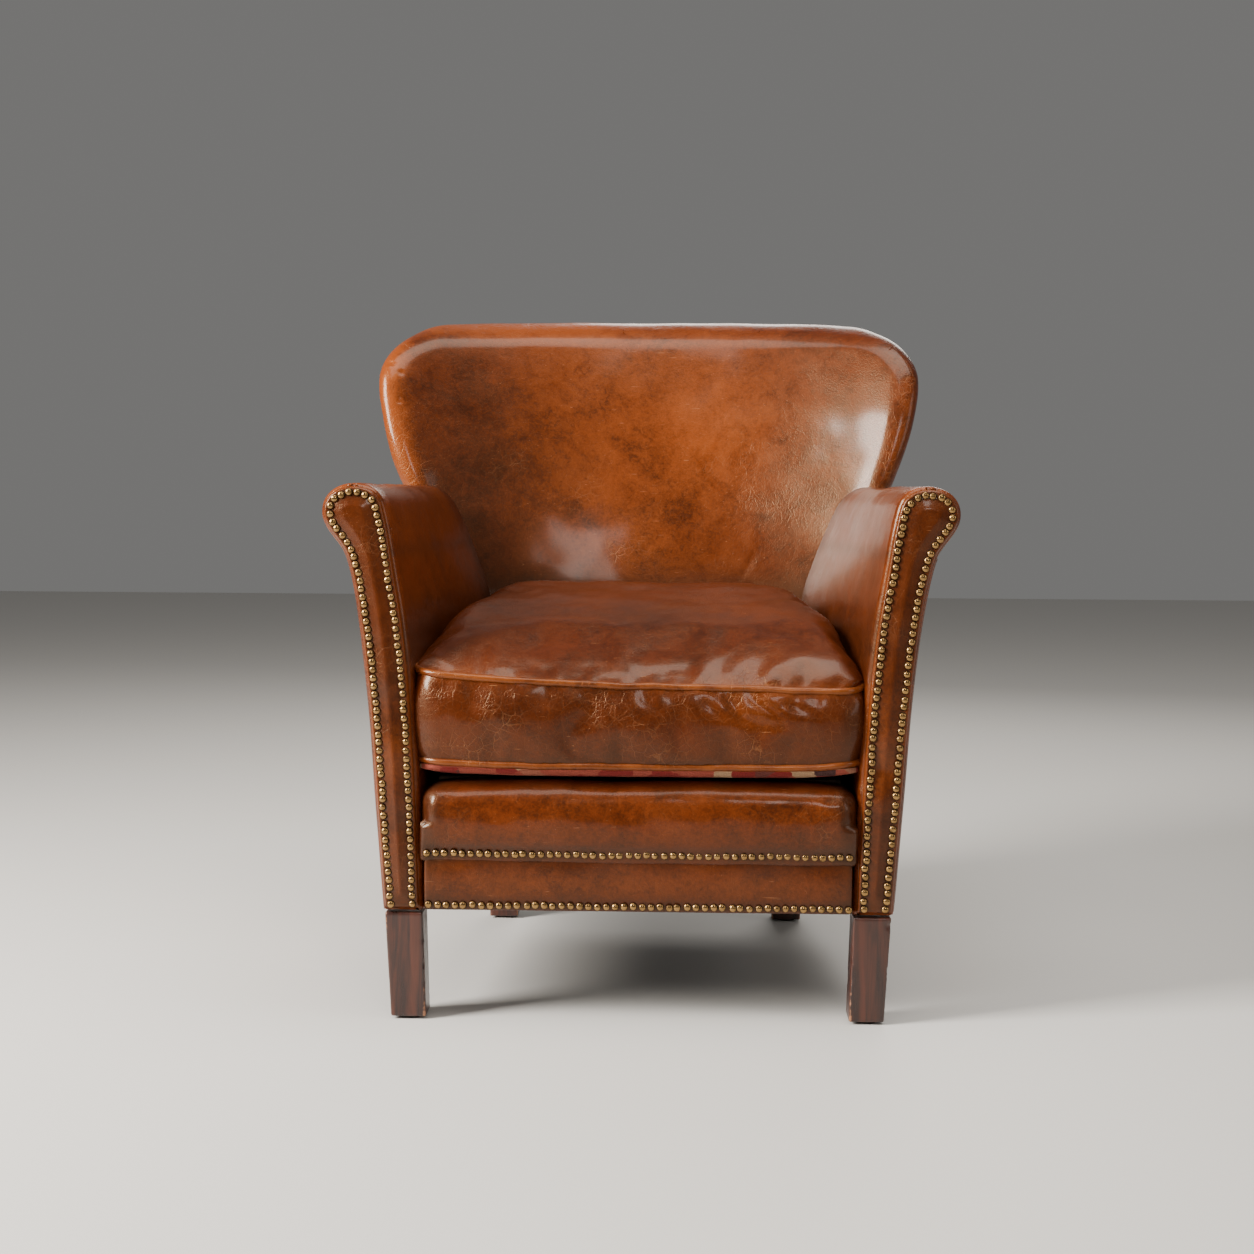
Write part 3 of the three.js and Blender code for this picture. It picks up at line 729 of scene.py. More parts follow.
def lean(x, y, z):
    back = (y - LEAN_FROM) / LEAN_OVER
    across = clamp((arm_outer(z) - x) / (arm_outer(z) - arm_inner(z)))
    return Vector((x - (ARM_LEAN + arm_lean(z) * across) * back, y, z))


def swept(rings):
    """A closed body through rings of the same count, filled at both ends."""
    bm = bmesh.new()
    ring = bmesh.ops.create_circle(bm, segments=len(rings[0]), radius=1, cap_ends=False)["verts"]
    edges = bm.edges[:]
    for vertex, place in zip(ring, rings[0]):
        vertex.co = place
    bmesh.ops.edgeloop_fill(bm, edges=edges)
    for row in rings[1:]:
        made = bmesh.ops.extrude_edge_only(bm, edges=edges)["geom"]
        fresh = {item for item in made if isinstance(item, bmesh.types.BMVert)}
        edges = [item for item in made if isinstance(item, bmesh.types.BMEdge)
                 and item.verts[0] in fresh and item.verts[1] in fresh]
        ring = [next(e.other_vert(v) for e in v.link_edges if e.other_vert(v) in fresh) for v in ring]
        for vertex, place in zip(ring, row):
            vertex.co = place
    bmesh.ops.edgeloop_fill(bm, edges=edges)
    face_outward(bm)
    return bm


ARM_FOLDS = {
    "right": [
        ((0.262, 0.050, 0.500), (0.236, -0.03, 0.470), 0.0050, 0.0014),
        ((0.232, 0.050, 0.560), (0.250, -0.02, 0.575), 0.0045, 0.0014),
        ((0.345, -0.345, 0.548), (0.340, -0.300, 0.545), 0.0035, 0.0010),
        ((0.330, -0.345, 0.594), (0.325, -0.310, 0.596), 0.0035, 0.0010),
    ],
    "left": [
        ((0.232, 0.050, 0.560), (0.252, -0.03, 0.578), 0.0045, 0.0016),
        ((0.226, 0.050, 0.530), (0.240, -0.04, 0.520), 0.0050, 0.0014),
        ((0.318, -0.345, 0.597), (0.310, -0.300, 0.597), 0.0035, 0.0010),
    ],
}


def make_arm(side):
    line = arm_line(0.004)
    foot = [line[-1].lerp(line[0], k / 11) for k in range(1, 11)]
    rings = []
    for k in range(7):
        turn = math.radians(15 * k)
        rings.append((ARM_FRONT + 0.0075 * (1 - math.cos(turn)), 0.0075 * (1 - math.sin(turn))))
    rows = 84
    rings += [(lerp(ARM_FRONT + 0.0105, ARM_END - 0.012, k / rows), 0.0) for k in range(rows + 1)]
    for turn in map(math.radians, (25, 50, 75)):
        rings.append((ARM_END - 0.012 * (1 - math.sin(turn)), 0.012 * (1 - math.cos(turn))))
    bm = swept([[lean(point.x, y, point.y) for point in inset_line(line, inset) + foot]
                for y, inset in rings])

    def relief(co):
        amount = sum(fold(co, *crease) for crease in ARM_FOLDS[side])
        amount += lumps(co, 0.085, 0.0016, 5.2 if side == "right" else 11.9)
        amount += lumps(co, 0.030, 0.0005, 2.2)
        upright = co.x + ARM_LEAN * (co.y - LEAN_FROM) / LEAN_OVER
        covered = co.z < ARM_CREASE and upright > (arm_inner(co.z) + arm_outer(co.z)) / 2
        return 0.0 if covered else amount * clamp((co.y - ARM_FRONT - 0.004) / 0.02)

    displace(bm, relief)
    if side == "left":
        mirror_left(bm)
    piece = new_object(f"arm_{side}", bm)

    def wear(co):
        front = 0.30 * bell(co.y - ARM_FRONT - 0.004, 0.008)
        top = 0.25 * clamp((co.z - 0.572) / 0.02)
        return clamp(front + top + 0.25 * bell(co.z - 0.48, 0.05) * clamp(abs(co.x) - 0.20))

    # Painted shade: darker where the inside arm meets the cushion, where the arm meets the back, and under
    # the scroll's crease
    def soil(co):
        seat = 0.7 * bell(co.z - 0.42, 0.05) * clamp((0.30 - abs(co.x)) / 0.03)
        rear = 0.55 * bell(co.y - 0.065, 0.022)
        under = 0.4 * bell(co.z - ARM_CREASE, 0.008)
        return clamp(seat + rear + under)

    set_marks(piece, wear=wear, soil=soil, creased=lambda co: 0.12 + 0.4 * bell(co.y - ARM_FRONT, 0.03))
    finish_piece(piece, hide_finish, "body_leather", f"arm_cover_{side}", f"arm_pad_{side}")


# Outside arms
# A flat hide from the front of each arm to the rear corner, tucked up into the crease under the scroll.
# At the rear it turns in round the post to meet the outside back.
SIDE_REAR = 0.188


def x_at_height(points):
    return curve(*[(point.y, point.x) for point in points])


def make_outside_arm(side):
    line = arm_line(0.004)
    tip = max(range(len(line)), key=lambda i: line[i].x)
    side_line = x_at_height(reversed(line[tip:]))
    bm = bmesh.new()
    bmesh.ops.create_grid(bm, x_segments=104, y_segments=78, size=1)
    for vertex in bm.verts:
        along, up = (vertex.co.x + 1) / 2, (vertex.co.y + 1) / 2
        y, z = lerp(-0.3375, SIDE_REAR, along), lerp(0.1245, ARM_CREASE - 0.001, up)
        edge = min(along * 0.53, (1 - along) * 0.53, (1 - up) * 0.40) / 0.006
        proud = 0.0034 * math.sin(clamp(edge) * math.pi / 2) - 0.0008
        place = lean(side_line(z), y, z)
        place.x += proud + clamp(edge) * lumps(place, 0.12, 0.0014, 6.6 if side == "left" else 0.4)
        corner = back_point(BACK_HALF - 0.014, z, BACK_DEEP - 0.003)
        vertex.co = place.lerp(corner, clamp((along - 0.95) / 0.05) ** 1.5)
    piece, flat_area = walled(f"side_hide_{side}", bm, (1, 0, 0), 0.004, side)
    # The darkening mask is painted shade under the scroll's crease, and it makes the side darker towards the
    # foot.
    set_marks(piece, wear=lambda co: 0.5 * bell(co.z - 0.128, 0.010) + 0.3 * bell(co.y + 0.337, 0.010),
              soil=lambda co: clamp(0.4 * bell(co.z - ARM_CREASE, 0.015) + 0.3 * clamp((0.2 - co.z) / 0.08)),
              creased=lambda co: 0.12)
    finish_piece(piece, hide_finish, "body_leather", f"outside_arm_{side}")


# Arm facings
# A panel of leather on the front of each arm over a thin pad, held along its edge by a close row of
# brass nails. The nails pull it down into small puckers.
FACING_IN, NAIL_IN = 0.0035, 0.0105
FACING_FOOT = 0.1255
NAIL_PITCH = 0.0090


def arm_nail_places():
    line = inset_line(arm_line(0.0015), NAIL_IN)
    start = next(i for i, point in enumerate(line) if point.y > 0.130)
    stop = max(i for i, point in enumerate(line) if point.y > 0.130)
    return resampled(line[start:stop + 1], NAIL_PITCH)


def nearest(tree_points):
    tree = KDTree(len(tree_points))
    for i, point in enumerate(tree_points):
        tree.insert((point.x, point.y, 0), i)
    tree.balance()
    return lambda point: tree.find((point.x, point.y, 0))[2]


def facing_sides():
    """The facing's edge as one line, and the x of its inside and outside edge at a height."""
    line = inset_line(arm_line(0.001), FACING_IN)
    line = [point for point in line if point.y > FACING_FOOT - 0.001]
    top = max(range(len(line)), key=lambda i: line[i].y)
    return line, line[top].y, x_at_height(line[:top + 1]), x_at_height(reversed(line[top:]))


def make_facing(side, nails):
    line, top, inside, outside = facing_sides()
    foot = [Vector((inside(FACING_FOOT), FACING_FOOT)), Vector((outside(FACING_FOOT), FACING_FOOT))]
    border = nearest(resampled(line, 0.0003) + resampled(foot, 0.0003))
    nail_distance = nearest(nails)
    bm = bmesh.new()
    bmesh.ops.create_grid(bm, x_segments=30, y_segments=210, size=1)
    for vertex in bm.verts:
        u, v = (gathered(vertex.co.x, 1.35) + 1) / 2, (vertex.co.y + 1) / 2
        z = lerp(FACING_FOOT, top - 0.00004, 1 - (1 - v) ** 1.6)
        flat = Vector((lerp(inside(z), outside(z), u), z))
        deep = border(flat)
        rise = 0.0036 * math.sin(clamp(deep / 0.003) * math.pi / 2)
        rise += 0.0030 * clamp((deep - 0.009) / 0.012) ** 1.5
        rise -= 0.0006 * bell(deep - NAIL_IN + FACING_IN, 0.003)
        rise -= 0.0010 * bell(nail_distance(flat), 0.0036)
        place = Vector((flat.x, ARM_FRONT - rise, flat.y))
        place.y += lumps(place, 0.045, 0.0012, 4.4 if side == "left" else 9.1)
        if side == "right":
            place.y += 0.0035 * bell(math.hypot(place.x - 0.270, (place.z - 0.285) * 0.6), 0.012)
        else:
            place.y -= fold(place, (0.276, -0.352, 0.450), (0.272, -0.352, 0.392), 0.0022, 0.0016)
        vertex.co = place
    piece, flat_area = walled(f"facing_{side}", bm, (0, -1, 0), 0.003, side)

    # darker in a ring round each nail head and towards the foot
    def soil(co):
        near = nail_distance(Vector((abs(co.x), co.z)))
        return clamp(0.55 * bell(near, 0.0058) + 0.35 * clamp((0.20 - co.z) / 0.07))

    def wear(co):
        edge = border(Vector((abs(co.x), co.z)))
        return clamp(0.7 * bell(edge, 0.0035) + 0.35 * bell(co.z - 0.30, 0.09))

    set_marks(piece, wear=wear, soil=soil, creased=lambda co: 0.35)
    finish_piece(piece, facing_finish, "body_leather", f"arm_facing_{side}")


# Upholstery nails
# Domed brass heads with an antiqued finish, dark round their rims. They are set by hand, so each is a
# little off its line and its angle.
def brass_material():
    material, nodes, shader, place = new_material("antique_brass")
    patina = nodes.noise(place, 160.0, 4.0, 0.65)
    dark = nodes.ramp(nodes.weighted((nodes.mask("rim"), 0.75), (patina, 1)), 0.40, 0.95)
    nodes.feed(shader, "Base Color", nodes.mix(dark, (0.34, 0.20, 0.075, 1), (0.040, 0.021, 0.010, 1)))
    nodes.feed(shader, "Roughness", nodes.plus(nodes.times(dark, 0.32), 0.20))
    nodes.feed(shader, "Metallic", 1.0)
    bump(nodes, shader, nodes.noise(place, 700.0, 3.0, 0.6), 0.0002, 0.4)
    return material


def make_nails(name, places, seat_y, node, seed):
    """A row of heads at (x, z) places on an upright face at seat_y."""
    rng = random.Random(seed)
    bm = bmesh.new()
    heads = []
    for point in places:
        head = bmesh.ops.create_uvsphere(bm, u_segments=12, v_segments=8, radius=1)["verts"]
        radius = 0.00435 * rng.uniform(0.95, 1.05)
        tilt = Matrix.Rotation(rng.gauss(0, 0.07), 3, "X") @ Matrix.Rotation(rng.gauss(0, 0.07), 3, "Z")
        drift = Vector((rng.gauss(0, 0.0004), rng.gauss(0, 0.0002), rng.gauss(0, 0.0004)))
        for vertex in head:
            x, y, z = vertex.co
            heads.append((vertex, clamp(1 - max(z, 0) * 1.3)))
            dome = 0.0029 * z if z > 0 else 0.0008 * z
            shaped = tilt @ Vector((x * radius, -dome, y * radius))
            vertex.co = Vector((point.x, seat_y - 0.0002, point.y)) + drift + shaped
    bm.verts.index_update()
    rims = [0.0] * len(bm.verts)
    for vertex, amount in heads:
        rims[vertex.index] = amount
    face_outward(bm)
    piece = new_object(name, bm)
    layer = piece.data.attributes.new("rim", "FLOAT", "POINT")
    layer.data.foreach_set("value", rims)
    finish_piece(piece, antique_brass, "nail_brass", node)


facing_finish = leather_material("facing_leather", brown=(0.066, 0.0110, 0.0014, 1),
                                 tan=(0.150, 0.030, 0.0036, 1))
antique_brass = brass_material()
arm_nails = arm_nail_places()
for number, side in enumerate(("left", "right")):
    make_arm(side)
    make_outside_arm(side)
    make_facing(side, arm_nails)
    sign = -1 if side == "left" else 1
    mirrored = [Vector((sign * point.x, point.y)) for point in arm_nails]
    make_nails(f"arm_nails_{side}", mirrored, ARM_FRONT - 0.0030, f"arm_nail_trim_{side}", 40 + number)

# Front band and lip
# A leather band runs across the front of the seat rail. Above it the padded edge of the deck is covered
# by a second hide, pleated at both ends, and both meet under a row of nails.
LIP_HALF, LIP_LOW, LIP_TOP = 0.2425, 0.178, 0.2690
LIP_SEAM = 0.1930
BAND_LOW = 0.1245

LIP_FOLDS = [((side * 0.240, -0.352, z), (side * reach, -0.360, z + rise), width, depth)
             for side, z, reach, rise, width, depth in (
                 (-1, 0.246, 0.205, 0.004, 0.0042, 0.0014), (-1, 0.232, 0.212, 0.002, 0.0042, 0.0011),
                 (-1, 0.214, 0.216, -0.003, 0.0046, 0.0009), (1, 0.248, 0.200, 0.005, 0.0044, 0.0016),
                 (1, 0.236, 0.208, 0.002, 0.0042, 0.0013), (1, 0.220, 0.214, -0.002, 0.0046, 0.0010))]


def make_lip():
    bm = gridded_block((150, 15, 23))
    half = (LIP_HALF, 0.031, (LIP_TOP - LIP_LOW) / 2)
    for vertex in bm.verts:
        x, y, z = vertex.co
        radius = 0.022 if z > 0 else 0.006
        place = rounded(Vector((gathered(x, 1.2) * half[0], y * half[1], z * half[2])), half, radius)
        up = place.z / half[2]
        end = clamp((half[0] - abs(place.x)) / 0.022)
        rise = clamp((place.z + half[2] + LIP_LOW - LIP_SEAM) / (LIP_TOP - LIP_SEAM))
        belly = 0.0095 * math.sin(math.pi * rise**0.8) ** 0.8 * (0.45 + 0.55 * math.sin(end * math.pi / 2))
        front = clamp(-place.y / half[1])
        place.y -= belly * front
        vertex.co = place + Vector((0, -0.324, LIP_LOW + half[2]))
        vertex.co.z -= 0.006 * (abs(vertex.co.x) / half[0]) ** 6 * clamp(up)

    def relief(co):
        amount = sum(fold(co, *crease) for crease in LIP_FOLDS)
        amount += lumps(co, 0.07, 0.0022, 7.7) + lumps(co, 0.025, 0.0007, 1.3)
        return amount

    displace(bm, relief)
    piece = new_object("front_lip", bm)

    def wear(co):
        return clamp(0.22 * bell(co.z - 0.245, 0.014) + 0.15 * bell(co.z - 0.222, 0.02))

    # Painted shade: darker at the pleated ends between the arms, along the nail seam under the roll's belly,
    # and along the top under the cushion
    def soil(co):
        ends = 0.8 * bell(abs(co.x) - 0.236, 0.018)
        seam = 0.75 * bell(co.z - 0.190, 0.009)
        return clamp(ends + seam + 0.6 * bell(co.z - 0.266, 0.006))

    set_marks(piece, wear=wear, soil=soil,
              creased=lambda co: 0.16 + 0.5 * bell(abs(co.x) - 0.22, 0.03))
    finish_piece(piece, hide_finish, "body_leather", "front_lip_cover", "front_lip_pad")


def make_band():
    bm = gridded_block((140, 3, 18))
    half = (0.2370, 0.006, (0.188 - BAND_LOW) / 2)
    for vertex in bm.verts:
        x, y, z = vertex.co
        place = rounded(Vector((x * half[0], y * half[1], z * half[2])), half, 0.0025)
        if y < 0:
            place.y -= 0.0018 * (1 - (place.z / half[2]) ** 2)
            place.y += lumps(place, 0.06, 0.0012, 2.9)
        vertex.co = place + Vector((0, -0.3465, BAND_LOW + half[2]))
    piece = new_object("band", bm)
    # The darkening mask is painted shade along the top under the lip and at both ends beside the arms, plus
    # a dark line along the lower nail row.
    set_marks(piece, wear=lambda co: 0.35 * bell(co.z - 0.158, 0.02),
              soil=lambda co: clamp(0.7 * bell(co.z - 0.131, 0.007) + 0.7 * bell(co.z - 0.186, 0.007)
                                    + 0.5 * bell(abs(co.x) - 0.237, 0.02)),
              creased=lambda co: 0.15)
    finish_piece(piece, facing_finish, "body_leather", "front_band")


make_lip()
make_band()
for name, low_x, high_x, height, node, seed in (
        ("lip_nails", -0.2335, 0.2335, 0.1885, "lip_nail_trim", 61),
        ("band_nails", -0.2320, 0.2330, 0.1310, "band_nail_trim", 62)):
    spaced = resampled([Vector((low_x, height)), Vector((high_x, height))], 0.0098)
    make_nails(name, spaced, -0.3545, node, seed)

# Seat cushion
# A loose feather cushion in three leather panels with a piped welt at both seams. Its underside is a
# panel of old woven carpet cloth. Sitting has creased the front border and darkened the crown.
CUSHION_FRONT, CUSHION_REAR = -0.3500, 0.0960
CUSHION_LOW = 0.2865
cushion_half = curve((-0.350, 0.2500), (-0.322, 0.2500), (-0.200, 0.2360), (-0.05, 0.2150),
                     (0.058, 0.1975), (0.076, 0.192), (0.096, 0.180))
cushion_crest = curve((-0.362, 0.378), (-0.345, 0.390), (-0.320, 0.407), (-0.270, 0.4275), (-0.190, 0.450),
                      (-0.110, 0.463), (-0.030, 0.472), (0.040, 0.469), (0.080, 0.458), (0.108, 0.444))


def seam_height(x, y):
    back = clamp((y - CUSHION_FRONT) / (CUSHION_REAR - CUSHION_FRONT))
    across = x / 0.245
    corner = 0.007 * across * across * (1 if x < 0 else 0)
    rise = 0.040 * back**1.15 + 0.016 * across**4 * math.sin(math.pi * back)
    return 0.3765 - 0.005 * across + corner + rise


def cushion_plan(across, along):
    """Places a point of the square -1..1 in the cushion's plan, its corners rounded."""
    half = (0.244, (CUSHION_REAR - CUSHION_FRONT) / 2, 0.0)
    radius = 0.036 if along < 0 else 0.060
    point = rounded(Vector((across * half[0], along * half[1], 0)), half, radius)
    y = point.y + (CUSHION_FRONT + CUSHION_REAR) / 2
    bow = 0.012 * (1 - (point.x / half[0]) ** 2) * (1 if along > 0 else -0.45) * abs(along) ** 3
    return Vector((point.x * cushion_half(y) / half[0], y + bow, 0))


CUSHION_FOLDS = [
    # start, end, width, depth: crackled dents on the right of the front border, then slack at the left
    ((0.066, -0.360, 0.366), (0.096, -0.362, 0.338), 0.0042, 0.0022),
    ((0.094, -0.360, 0.368), (0.120, -0.362, 0.335), 0.0050, 0.0030),
    ((0.120, -0.360, 0.366), (0.162, -0.362, 0.340), 0.0048, 0.0028),
    ((0.150, -0.360, 0.362), (0.200, -0.360, 0.345), 0.0045, 0.0024),
    ((0.085, -0.362, 0.345), (0.185, -0.362, 0.330), 0.0055, 0.0020),
    ((0.000, -0.360, 0.366), (0.030, -0.362, 0.345), 0.0040, 0.0016),
    ((-0.060, -0.360, 0.368), (-0.048, -0.362, 0.345), 0.0036, 0.0014),
    ((-0.235, -0.345, 0.372), (-0.195, -0.358, 0.345), 0.0045, 0.0022),
    ((-0.238, -0.345, 0.350), (-0.200, -0.358, 0.335), 0.0045, 0.0018),
    ((0.238, -0.345, 0.355), (0.205, -0.358, 0.330), 0.0045, 0.0022),
    # shallow pulls across the top
    ((-0.020, -0.330, 0.395), (0.015, -0.240, 0.425), 0.0080, 0.0020),
    ((0.060, -0.335, 0.392), (0.050, -0.250, 0.420), 0.0080, 0.0016),
    ((-0.150, -0.330, 0.395), (-0.120, -0.230, 0.420), 0.0090, 0.0016),
    ((0.150, -0.325, 0.392), (0.170, -0.220, 0.410), 0.0090, 0.0018),
    ((-0.225, -0.300, 0.395), (-0.190, -0.180, 0.415), 0.0070, 0.0016),
]


def inflate(piece, pinned, most):
    """Fills a sewn cover by a short cloth run under pressure; its seams are pinned and no point moves
    further than most."""
    seams = piece.vertex_groups.new(name="seams")
    for vertex in piece.data.vertices:
        seams.add([vertex.index], pinned(vertex.co), "REPLACE")
    cloth = piece.modifiers.new("fill", "CLOTH")
    for key, value in (("quality", 6), ("mass", 0.4), ("use_pressure", True), ("shrink_min", -0.005),
                       ("uniform_pressure_force", 1.6), ("vertex_group_mass", "seams"),
                       ("bending_stiffness", 2.5)):
        setattr(cloth.settings, key, value)
    cloth.settings.effector_weights.gravity = 0
    cloth.collision_settings.use_collision = False
    cloth.collision_settings.use_self_collision = False
    cloth.point_cache.frame_start, cloth.point_cache.frame_end = 1, 20
    for number in range(1, 21):
        bpy.context.scene.frame_set(number)
    filled = piece.evaluated_get(bpy.context.evaluated_depsgraph_get()).data
    moves = [after.co - before.co for before, after in zip(piece.data.vertices, filled.vertices)]
    piece.modifiers.remove(cloth)
    for vertex, move in zip(piece.data.vertices, moves):
        vertex.co += move * min(1.0, most / max(move.length, 1e-9))
    bpy.context.scene.frame_set(1)


def make_cushion():
    bm = gridded_block((110, 104, 17))
    for vertex in bm.verts:
        x, y, z = vertex.co
        plan = cushion_plan(gathered(x, 1.3), gathered(y, 1.3))
        high = seam_height(plan.x, plan.y)
        side = 8 + 8 * clamp((0.1 - plan.y) / 0.3)
        dome = (1 - abs(gathered(x, 1.3)) ** side) ** 0.65 * (1 - abs(gathered(y, 1.3)) ** 24)
        if z > 0.999:
            plan.z = lerp(high, max(cushion_crest(plan.y), high), dome)
        elif z < -0.999:
            plan.z = CUSHION_LOW - 0.004 * dome
        else:
            up = (z + 1) / 2
            middle = Vector((0, -0.12, 0))
            outward = (Vector((plan.x * 0.8, plan.y, 0)) - middle).normalized()
            front = 1.0 if y < -0.9 else 0.5
            plan += outward * 0.0095 * front * math.sin(math.pi * up) ** 0.8
            plan.z = lerp(CUSHION_LOW, high, up)
        vertex.co = plan

    def relief(co):
        amount = sum(fold(co, *crease) for crease in CUSHION_FOLDS)
        amount += lumps(co, 0.075, 0.0042, 12.3) + lumps(co, 0.028, 0.0012, 3.3)
        seam = abs(co.z - seam_height(co.x, co.y))
        wave = noise.noise(Vector((co.x * 52, co.y * 52, 4.0)))
        amount += 0.0022 * wave * bell(seam - 0.010, 0.010)
        return amount * clamp(seam / 0.008) * clamp(abs(co.z - CUSHION_LOW) / 0.008)

    displace(bm, relief)
    piece = new_object("cushion", bm)
    inflate(piece, lambda co: 1 - clamp((min(abs(co.z - seam_height(co.x, co.y)),
                                             abs(co.z - CUSHION_LOW)) - 0.0015) / 0.004), 0.0035)

    def wear(co):
        seam = abs(co.z - seam_height(co.x, co.y))
        edge = 0.45 * bell(seam, 0.008)
        crown = 0.25 * bell(co.z - 0.44, 0.03)
        dents = 0.65 * bell(math.hypot((co.x - 0.13) * 0.8, co.z - 0.350), 0.030)
        return clamp(edge + crown + dents * clamp((-0.33 - co.y) / 0.02))

    # The smear on the crown is a real mark; the darkening at the sides beside the arms, at the rear under
    # the back and along the bottom edge is painted shade
    def soil(co):
        smear = 0.65 * bell(math.hypot((co.x - 0.02) * 0.7, co.y + 0.22), 0.055)
        side = 0.5 * clamp((abs(co.x) - 0.215) / 0.03) * clamp((0.37 - co.z) / 0.02)
        rear = 0.6 * clamp(co.y / 0.09)
        low = 0.5 * bell(co.z - 0.288, 0.008)
        return clamp(smear * clamp((co.z - 0.38) / 0.01) + rear + side + low)

    def creased(co):
        dents = bell(math.hypot((co.x - 0.13) * 0.7, co.z - 0.350), 0.045) * clamp((-0.33 - co.y) / 0.02)
        border = 0.45 * clamp((0.375 - co.z) / 0.01)
        return clamp(0.22 + dents + border)

    set_marks(piece, wear=wear, soil=soil, creased=creased)
    finish_piece(piece, cushion_finish, "cushion_leather", "cushion_top_panel", "cushion_boxing",
                 "cushion_fill")


def plan_edge(turn):
    """A point on the edge of the cushion's plan; turn runs 0..4 round the square from the front left."""
    side, t = int(turn) % 4, (turn % 1) * 2 - 1
    across, along = ((t, -1), (1, t), (-t, 1), (-1, -t))[side]
    return cushion_plan(gathered(across, 1.25) if abs(across) < 1 else across,
                        gathered(along, 1.25) if abs(along) < 1 else along)


def ring_tube(path, radius):
    """A closed tube along path(turn 0..1), made as a spun circle whose points are moved to the path."""
    bm = bmesh.new()
    spread = 0.1
    upright = Matrix.Translation((1, 0, 0)) @ Matrix.Rotation(math.pi / 2, 4, "X")
    ring = bmesh.ops.create_circle(bm, segments=12, radius=spread, cap_ends=False, matrix=upright)
    bmesh.ops.spin(bm, geom=bm.edges[:] + ring["verts"], cent=(0, 0, 0), axis=(0, 0, 1),
                   angle=2 * math.pi, steps=440, use_merge=True)
    bmesh.ops.remove_doubles(bm, verts=bm.verts[:], dist=1e-5)
    for vertex in bm.verts:
        turn = math.atan2(vertex.co.y, vertex.co.x) / (2 * math.pi) % 1.0
        out = (math.hypot(vertex.co.x, vertex.co.y) - 1) / spread
        up = vertex.co.z / spread
        here, ahead = path(turn), path((turn + 0.001) % 1.0)
        along = (ahead - here).normalized()
        outward = along.cross(Vector((0, 0, 1))).normalized()
        vertex.co = here + outward * out * radius + Vector((0, 0, up * radius))
    face_outward(bm)
    return bm


def make_welt(name, height, node, seed):
    def path(turn):
        place = plan_edge(turn * 4)
        wander = noise.noise(Vector((place.x * 30, place.y * 30, seed))) * 0.0011
        place.z = height(place.x, place.y) + wander
        return place

    bm = ring_tube(path, 0.0040)
    piece = new_object(name, bm)
    set_marks(piece, wear=lambda co: clamp(0.55 + 0.5 * noise.noise(co * 45)), soil=lambda co: 0.12,
              creased=lambda co: 0.5)
    finish_piece(piece, welt_finish, "welt_leather", node)


def tapestry_material():
    material, nodes, shader, place = new_material("woven_carpet_cloth")
    blocks = nodes.stretched(place, (46.0, 62.0, 62.0))
    cell = nodes.add("TexVoronoi", feature="F1", distance="CHEBYCHEV")
    nodes.feed(cell, "Vector", blocks)
    nodes.feed(cell, "Scale", 1.0)
    nodes.feed(cell, "Randomness", 0.75)
    parts = nodes.add("SeparateColor")
    nodes.feed(parts, 0, cell.outputs["Color"])
    tone = (0.22, 0.012, 0.009, 1)
    for number, low, high, colour in ((0, 0.35, 0.45, (0.33, 0.060, 0.035, 1)),
                                      (1, 0.78, 0.82, (0.44, 0.27, 0.15, 1)),
                                      (2, 0.90, 0.94, (0.060, 0.020, 0.020, 1))):
        tone = nodes.mix(nodes.ramp(parts.outputs[number], low, high), tone, colour)
    threads = nodes.cells(nodes.stretched(place, (560.0, 760.0, 560.0)), 1.0, "F1", 0.25)
    shade = nodes.ramp(threads, 0.3, 0.8, 0.0, 0.45)
    nodes.feed(shader, "Base Color", nodes.mix(shade, tone, (0.05, 0.02, 0.015, 1)))
    nodes.feed(shader, "Roughness", 0.92)
    bump(nodes, shader, nodes.math("SUBTRACT", 1.0, threads), 0.0009, 0.8)
    return material


def make_underside():
    bm = gridded_block((90, 84, 3))
    for vertex in bm.verts:
        x, y, z = vertex.co
        plan = cushion_plan(gathered(x, 1.3) * 0.992, gathered(y, 1.3) * 0.992)
        belly = (1 - abs(x) ** 5) * (1 - abs(gathered(y, 1.3)) ** 30)
        plan.z = 0.2885 if z > 0 else lerp(0.2865, 0.2725, belly**0.6) + lumps(plan, 0.05, 0.0012, 4.0)
        if abs(z) < 0.9:
            plan.z = 0.2870
        vertex.co = plan
    face_outward(bm)
    piece = new_object("cushion_base", bm)
    finish_piece(piece, tapestry_material(), "tapestry", "cushion_underside")


cushion_finish = leather_material("cushion_leather", brown=(0.066, 0.0100, 0.0011, 1),
                                  tan=(0.130, 0.024, 0.0026, 1), coat=0.22)
welt_finish = leather_material("welt_leather", brown=(0.110, 0.0185, 0.0020, 1),
                               tan=(0.205, 0.048, 0.0065, 1))
make_cushion()
make_underside()
make_welt("top_welt", seam_height, "cushion_welt_top", 1.0)
make_welt("bottom_welt", lambda x, y: CUSHION_LOW + 0.0005 + 0.006 * (abs(x) / 0.245) ** 6,
          "cushion_welt_bottom", 5.0)

# Frame, springs and cloths inside the seat
# Hardwood rails and posts, four zigzag springs across the seat, a wadding pad and black cloth over them,
# and a black dust cloth tacked under the rails.
def plain_wood():
    material, nodes, shader, place = new_material("frame_timber")
    grain = nodes.noise(nodes.stretched(place, (1.0, 0.15, 1.0)), 70.0, 4.0, 0.6, 0.5)
    nodes.feed(shader, "Base Color", nodes.mix(grain, (0.30, 0.18, 0.09, 1), (0.52, 0.36, 0.20, 1)))
    nodes.feed(shader, "Roughness", 0.7)
    bump(nodes, shader, grain, 0.0005, 0.4)
    return material


